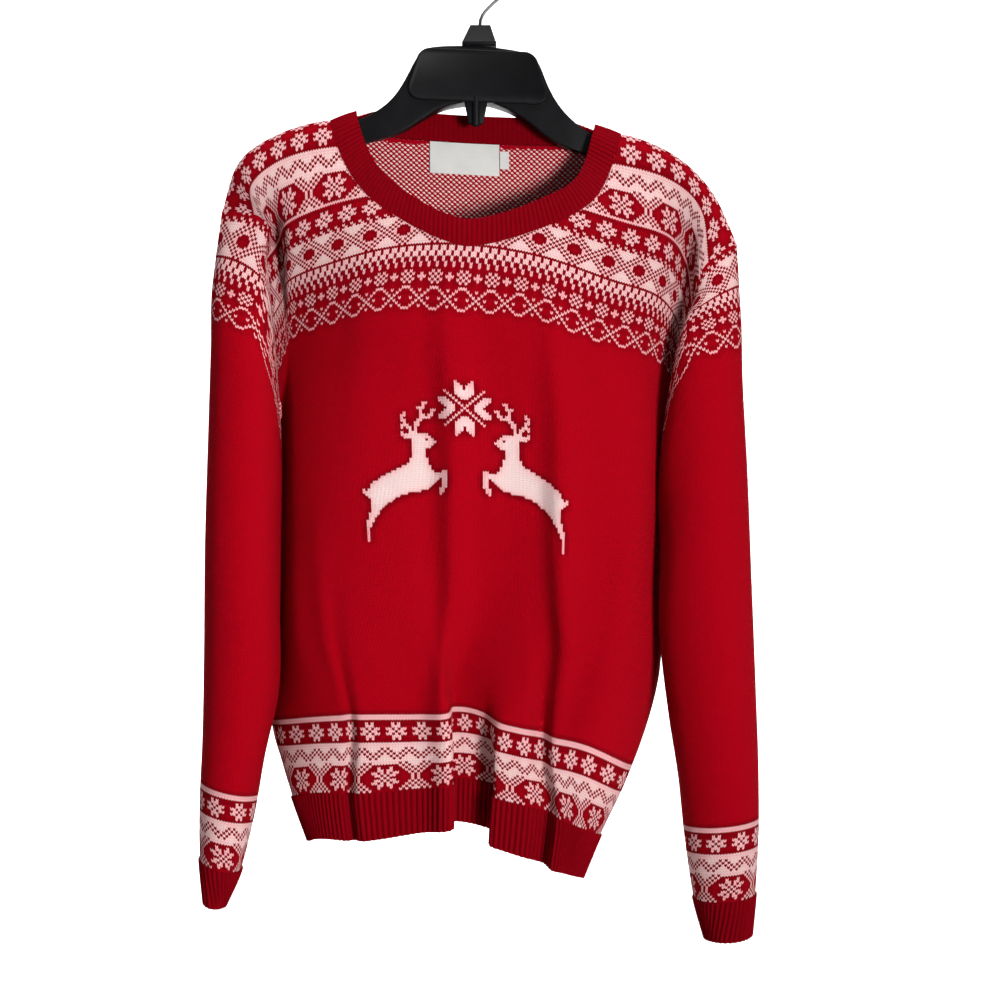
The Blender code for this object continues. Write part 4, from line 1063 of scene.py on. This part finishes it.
clothPieces = {
    "front_cloth": ("front_panel", ["hanger_body"], knit),
    "back_cloth": ("back_panel", ["hanger_body"], knit),
    "hem_front_cloth": ("hem_rib_front", ["front_cloth"], ribKnit),
    "hem_back_cloth": ("hem_rib_back", ["back_cloth"], ribKnit),
    "sleeve_right_cloth": ("sleeve_right", ["front_cloth"], knit),
    "sleeve_left_cloth": ("sleeve_left", ["front_cloth"], knit),
    "cuff_right_cloth": ("cuff_right", ["sleeve_right_cloth"], ribKnit),
    "cuff_left_cloth": ("cuff_left", ["sleeve_left_cloth"], ribKnit),
    "neckband_front_cloth": ("neckband_front", ["front_cloth"], ribKnit),
    "neckband_back_cloth": ("neckband_back", ["back_cloth"], ribKnit),
}
made = {}
for name, (node, rests, material) in clothPieces.items():
    made[name] = buildCloth(name, [material, knitInside if material is knit else ribKnit])
    print("cloth", name, len(made[name].data.polygons))
for name, (node, rests, material) in clothPieces.items():
    item = made[name]
    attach(item, "root")
    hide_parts(node)
    size = {"flat": pieces[name]["flat"], "held": "hung", "rests_on": rests}
    if "area" in pieces[name]:
        size["area"] = pieces[name]["area"]


# Sewn labels on the inside of the back.
def wovenMaterial(name):
    material, tree, shader = newTree(name)
    parts = split(tree, tree.nodes.new("ShaderNodeTexCoord").outputs["Object"])
    warpStep, weftStep = 0.0005, 0.0004
    warp = value(tree, "SINE", value(tree, "MULTIPLY", parts[0], 2 * math.pi / warpStep))
    weft = value(tree, "SINE", value(tree, "MULTIPLY", parts[2], 2 * math.pi / weftStep))
    height = value(tree, "MULTIPLY_ADD", warp, 0.5, weft)
    colour = blend(tree, noise(tree, 60.0), (0.86, 0.85, 0.82, 1), (0.74, 0.72, 0.69, 1))
    dress(tree, shader, colour, height, 0.0001, Roughness=0.55, Sheen_Weight=0.2)
    return material


def plasticMaterial(name):
    material, tree, shader = newTree(name)
    grain = noise(tree, 1800.0, 2.0)
    scuff = noise(tree, 60.0, 4.0)
    rough = value(tree, "MULTIPLY_ADD", scuff, 0.12, 0.38)
    colour = blend(tree, scuff, (0.003, 0.003, 0.0035, 1), (0.006, 0.006, 0.007, 1))
    tree.links.new(rough, shader.inputs["Roughness"])
    dress(tree, shader, colour, grain, 0.00003, Specular_IOR_Level=0.09)
    return material


def wireMaterial(name):
    material, tree, shader = newTree(name)
    where = tree.nodes.new("ShaderNodeTexCoord").outputs["Object"]
    stretch = tree.nodes.new("ShaderNodeMapping")
    stretch.inputs["Scale"].default_value = (900.0, 900.0, 60.0)
    tree.links.new(where, stretch.inputs["Vector"])
    drawn = noise(tree, 1.0, 3.0, stretch.outputs[0])
    colour = blend(tree, drawn, (0.02, 0.02, 0.022, 1), (0.05, 0.05, 0.053, 1))
    tree.links.new(colour, shader.inputs["Base Color"])
    tree.links.new(value(tree, "MULTIPLY_ADD", drawn, 0.2, 0.25), shader.inputs["Roughness"])
    shader.inputs["Metallic"].default_value = 0.9
    return material


woven = wovenMaterial("wovenLabel")
plastic = plasticMaterial("mouldedPlastic")
wire = wireMaterial("drawnWire")
# Labels: off the outer face of the back, wall, ripple, and how far the lower edge stands off more.
labelShape = {"off": 2.7, "wall": 0.5, "ripple": 0.15, "lift": 0.5, "columns": 34, "rows": 18}
labelWaves = (0.31, 0.1)
labels = {
    # node, edges across, edges down
    "label_cloth": ("neck_label", (-41.5, 21.5), (13.0, 42.5)),
    "tab_cloth": ("size_tab", (22.3, 30.5), (20.0, 36.0)),
}
for name, (node, across, down) in labels.items():
    a = np.linspace(across[1], across[0], labelShape["columns"])
    d = np.linspace(down[0], down[1], labelShape["rows"])
    a, d = np.meshgrid(a, d)
    grid = onPanel("back", a, d)
    quads = unit(np.cross(np.gradient(grid, axis=1), -np.gradient(grid, axis=0)))
    wave = labelShape["ripple"] * np.sin(a * labelWaves[0] + d * labelWaves[1])
    wave += labelShape["lift"] * ease((d - down[0]) / (down[1] - down[0]))
    grid = grid - quads * (labelShape["off"] + wave)[..., None] * mm
    addPiece(name, grid, np.stack([a, d], axis=-1), normals=quads, inner=1)
    item = buildCloth(name, [woven, woven], wall=labelShape["wall"])
    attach(item, "root")
    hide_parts(node)
    made[name] = item


# Hanger: moulded arms and bridge, face plate, cap and centre prong, shaped with operators.
hanger = {
    "rounding": 2.4,
    # half width, top, bottom, front, back
    "bridge": (5, -69.3, -119, -6, 20),
    # stations of the arms: across, top, bottom, front, back
    "right": (
        (-13, -68.8, -120, -6, 20), (-27, -69, -122.5, -6, 17), (-39, -69.6, -127.5, -6, 12),
        (-48, -71.3, -133.5, -6, 9), (-54, -76.5, -137, -6, 8), (-59, -85, -140.5, -6, 7),
        (-66, -99.5, -145, -6, 6), (-75, -114, -149, -6, 6), (-86, -124.5, -152, -6, 6),
        (-104, -134.8, -156.5, -4, 4), (-128, -142, -165, -2.6, 2.6), (-150, -145.8, -174, -3, 3),
        (-172, -151.5, -183, -3, 3), (-190, -160, -192, -3, 3), (-204, -172.5, -199, -3, 3),
        (-212, -184.5, -197, -2, 2),
    ),
    "left": (
        (13, -70.3, -121, -6, 20), (27, -72.2, -126.5, -6, 16), (41, -74.9, -135.5, -6, 10),
        (48, -77.8, -140.5, -6, 8), (54, -84.5, -145.5, -6, 7), (58, -95, -149, -6, 6),
        (62.5, -107, -152, -6, 6), (71, -122.5, -157.5, -6, 6), (83, -136, -162, -6, 6),
        (98, -147, -167, -4, 4), (112, -155.8, -174, -2.6, 2.6), (130, -158.5, -182, -2.6, 2.6),
        (150, -161.2, -189, -3, 3), (172, -170, -198, -3, 3), (188, -183.8, -206, -3, 3),
        (199, -197, -215, -3, 3), (206, -210, -223, -2, 2),
    ),
    # across, up and rounding of the plate's corners
    "plate": ((-52.5, -71.2, 9), (50.2, -75.6, 9), (64.5, -123.2, 15), (-68.0, -117.4, 16)),
    "plateDepth": (-8.2, -4.0),
    # rounded edge, width of the flat rim, sink of the face
    "rim": (0.9, 0.9, 0.3),
    # sides of the band, sides of the top, foot with band and top, half depths
    "cap": ((-15.2, 15.6), (-7.8, 10.2), (-68.5, -65.6, -50.7), (7.5, 5.5)),
    # sides at the top, sides at the foot, top and foot, front and back
    "prong": ((-13.5, 8.0), (-9.0, 4.0), (-118.5, -139.5), (-5.6, -1.2)),
    # across, depth, radius, top, foot
    "nose": (-2.8, -5.2, 3.5, -116.0, -142.0),
    "bevels": {"corner": 0.4, "prong": 0.8, "nose": 1.6},
    "inset": 0.5,
}


# Cosine from which a face or an edge counts as pointing a way.
pointing = 0.9


def startCube(name, low, high):
    bpy.ops.object.select_all(action="DESELECT")
    middle = [(a + b) / 2 * mm for a, b in zip(low, high)]
    bpy.ops.mesh.primitive_cube_add(size=1, location=middle)
    item = bpy.context.object
    item.name = name
    item.data.name = name
    item.scale = [(b - a) * mm for a, b in zip(low, high)]
    bpy.ops.object.transform_apply(location=True, rotation=False, scale=True)
    bpy.ops.object.mode_set(mode="EDIT")
    return item


def pick(item, kind, test):
    # selects faces, edges or corners whose middle, in millimetres, and normal or direction pass
    bpy.ops.mesh.select_mode(type=kind)
    bpy.ops.mesh.select_all(action="DESELECT")
    work = bmesh.from_edit_mesh(item.data)
    work.normal_update()
    if kind == "FACE":
        for face in work.faces:
            face.select_set(bool(test(face.calc_center_median() / mm, face.normal)))
    elif kind == "EDGE":
        for edge in work.edges:
            ends = [corner.co / mm for corner in edge.verts]
            edge.select_set(bool(test((ends[0] + ends[1]) / 2, (ends[1] - ends[0]).normalized())))
    else:
        for corner in work.verts:
            corner.select_set(bool(test(corner.co / mm, corner.normal)))
    bmesh.update_edit_mesh(item.data)


def shaped(item, levels=0, angle=35):
    # leaves edit mode, smooths and clears the transform
    bpy.ops.object.mode_set(mode="OBJECT")
    if levels:
        smooth = item.modifiers.new("smooth", "SUBSURF")
        smooth.levels = levels
        smooth.render_levels = levels
        bpy.ops.object.modifier_apply(modifier="smooth")
    bpy.ops.object.transform_apply(location=True, rotation=True, scale=True)
    bpy.ops.object.shade_smooth_by_angle(angle=math.radians(angle))


def joined(item, other):
    bpy.ops.object.select_all(action="DESELECT")
    other.select_set(True)
    item.select_set(True)
    bpy.context.view_layer.objects.active = item
    bpy.ops.object.join()
    return item


def armsAndBridge():
    half, top, bottom, front, back = hanger["bridge"]
    item = startCube("hanger_arms", (-half, front, bottom), (half, back, top))
    pick(item, "EDGE", lambda place, way: abs(way.x) > pointing)
    bpy.ops.mesh.bevel(offset=hanger["rounding"] * mm, segments=3)
    for side, way in (("right", -1), ("left", 1)):
        held = (half * way, top, bottom, front, back)
        pick(item, "FACE", lambda place, normal: normal.x * way > pointing)
        for station in hanger[side]:
            backward = (sum(station[3:]) - sum(held[3:])) / 2
            upward = (sum(station[1:3]) - sum(held[1:3])) / 2
            step = ((station[0] - held[0]) * mm, backward * mm, upward * mm)
            bpy.ops.mesh.extrude_region_move(TRANSFORM_OT_translate={"value": step})
            middle = (station[0] * mm, sum(station[3:]) / 2 * mm, sum(station[1:3]) / 2 * mm)
            deeper = (station[4] - station[3]) / (held[4] - held[3])
            taller = (station[1] - station[2]) / (held[1] - held[2])
            bpy.ops.transform.resize(value=(1, deeper, taller), center_override=middle)
            held = station
    shaped(item, levels=2)
    return item


def facePlate():
    near, far = hanger["plateDepth"]
    half, foot, top = 60, -120, -72
    item = startCube("hanger_plate", (-half, near, foot), (half, far, top))
    places = ((-half, top), (half, top), (half, foot), (-half, foot))
    for (wasX, wasZ), (x, z, rounding) in zip(places, hanger["plate"]):
        pick(item, "VERT", lambda place, normal: abs(place.x - wasX) < 0.5 and abs(place.z - wasZ) < 0.5)
        bpy.ops.transform.translate(value=((x - wasX) * mm, 0, (z - wasZ) * mm))
    for x, z, rounding in hanger["plate"]:
        pick(
            item, "EDGE",
            lambda place, way: abs(way.y) > pointing and abs(place.x - x) < 2 and abs(place.z - z) < 2,
        )
        bpy.ops.mesh.bevel(offset=rounding * mm, segments=8)
    edge, inset, sunk = hanger["rim"]
    pick(item, "FACE", lambda place, normal: normal.y < -pointing)
    bpy.ops.mesh.region_to_loop()
    bpy.ops.mesh.bevel(offset=edge * mm, segments=3)
    pick(item, "FACE", lambda place, normal: normal.y < -0.999 and abs(place.x) < 20)
    bpy.ops.mesh.inset(thickness=inset * mm, depth=0)
    bpy.ops.mesh.inset(thickness=hanger["inset"] * mm, depth=-sunk * mm)
    shaped(item)
    return item


def cap():
    (left, right), (topLeft, topRight), (foot, band, top), (deep, topDeep) = hanger["cap"]
    inset = hanger["inset"]
    item = startCube("hanger_collar", (left, -deep, foot), (right, deep, band))
    pick(item, "FACE", lambda place, normal: normal.z > pointing)
    bpy.ops.mesh.inset(thickness=inset * mm, depth=0)
    bpy.ops.mesh.extrude_region_move(TRANSFORM_OT_translate={"value": (0, 0, (top - band) * mm)})
    wide = (topRight - topLeft) / (right - left - 2 * inset)
    bpy.ops.transform.resize(value=(wide, topDeep / (deep - inset), 1))
    shift = (topLeft + topRight - left - right) / 2
    bpy.ops.transform.translate(value=(shift * mm, 0, 0))
    bpy.ops.mesh.select_all(action="SELECT")
    bpy.ops.mesh.bevel(offset=hanger["bevels"]["corner"] * mm, segments=2)
    shaped(item)
    return item


def prong():
    (left, right), (lowLeft, lowRight), (top, foot), (near, far) = hanger["prong"]
    item = startCube("hanger_tongue", (left, near, foot), (right, far, top))
    pick(item, "FACE", lambda place, normal: normal.z < -pointing)
    bpy.ops.transform.resize(value=((lowRight - lowLeft) / (right - left), 1, 1))
    bpy.ops.mesh.select_all(action="SELECT")
    bpy.ops.mesh.bevel(offset=hanger["bevels"]["prong"] * mm, segments=3)
    shaped(item)
    x, y, radius, high, low = hanger["nose"]
    bpy.ops.object.select_all(action="DESELECT")
    middle = (x * mm, y * mm, (high + low) / 2 * mm)
    bpy.ops.mesh.primitive_cylinder_add(
        vertices=24, radius=radius * mm, depth=(high - low) * mm, location=middle,
    )
    nose = bpy.context.object
    bpy.ops.object.mode_set(mode="EDIT")
    pick(nose, "FACE", lambda place, normal: normal.z < -pointing)
    bpy.ops.mesh.bevel(offset=hanger["bevels"]["nose"] * mm, segments=4)
    shaped(nose)
    return joined(item, nose)


arms = joined(armsAndBridge(), facePlate())
moulded = {"hanger_body": arms, "hanger_cap": cap(), "hanger_prong": prong()}
for node, item in moulded.items():
    item.data.materials.clear()
    item.data.materials.append(plastic)
    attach(item, "root")
    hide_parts(node)
    print("hanger", node, len(item.data.polygons))
for slot in bpy.data.objects["hanger_hook"].material_slots:
    slot.material = wire


# Camera, pale floor and wall, soft studio light.
scene = bpy.context.scene
camera = bpy.data.objects.new("camera", bpy.data.cameras.new("camera"))
scene.collection.objects.link(camera)
camera.location = (18.9 * mm, -1.7, -477 * mm)
camera.rotation_euler = (math.radians(90), 0, 0)
camera.data.lens = 68.0
camera.data.sensor_width = 36.0
scene.camera = camera

# Stage in section: front edge, start of the bend, its radius, height of the floor and of the top.
near, bendAt, bend, ground, high = -3.0, 1.2, 0.6, -1.0, 3.0
profile = [(near, ground), (bendAt, ground)]
for a in np.linspace(0.15, math.pi / 2, 10):
    profile.append((bendAt + bend * math.sin(a), ground + bend - bend * math.cos(a)))
profile.append((bendAt + bend, high))
stage = bpy.data.meshes.new("stage")
verts = [(x, y, z) for y, z in profile for x in (-4.0, 4.0)]
stage.from_pydata(verts, [], [(2 * i, 2 * i + 1, 2 * i + 3, 2 * i + 2) for i in range(len(profile) - 1)])
for polygon in stage.polygons:
    polygon.use_smooth = True
backdrop = bpy.data.objects.new("stage", stage)
scene.collection.objects.link(backdrop)
paper, paperShader = newTree("palePaper")[::2]
paperShader.inputs["Base Color"].default_value = (0.94, 0.94, 0.94, 1)
paperShader.inputs["Roughness"].default_value = 0.9
paperShader.inputs["Specular IOR Level"].default_value = 0.0
stage.materials.append(paper)

lamps = {
    # size, power, spread in degrees, place, aim
    "keyLight": (0.6, 7.0, 46, (1.25, -2.15, -0.6), (-0.22, 0, -0.46)),
    "fillLight": (1.6, 1.6, 120, (-0.8, -2.3, -0.3), (0.0, 0, -0.45)),
    "wallLight": (2.6, 70, 90, (0.0, 0.7, 1.3), (0, 1.8, -0.45)),
}
for name, (size, power, spread, place, aim) in lamps.items():
    lamp = bpy.data.lights.new(name, "AREA")
    lamp.shape = "SQUARE"
    lamp.size = size
    lamp.energy = power
    lamp.spread = math.radians(spread)
    item = bpy.data.objects.new(name, lamp)
    item.location = place
    item.rotation_euler = (Vector(aim) - Vector(place)).to_track_quat("-Z", "Y").to_euler()
    scene.collection.objects.link(item)
world = bpy.data.worlds.new("softWorld")
world.use_nodes = True
world.node_tree.nodes["Background"].inputs[0].default_value = (1, 1, 1, 1)
world.node_tree.nodes["Background"].inputs[1].default_value = 0.05
scene.world = world
scene.view_settings.view_transform = "Standard"
print("stage done")
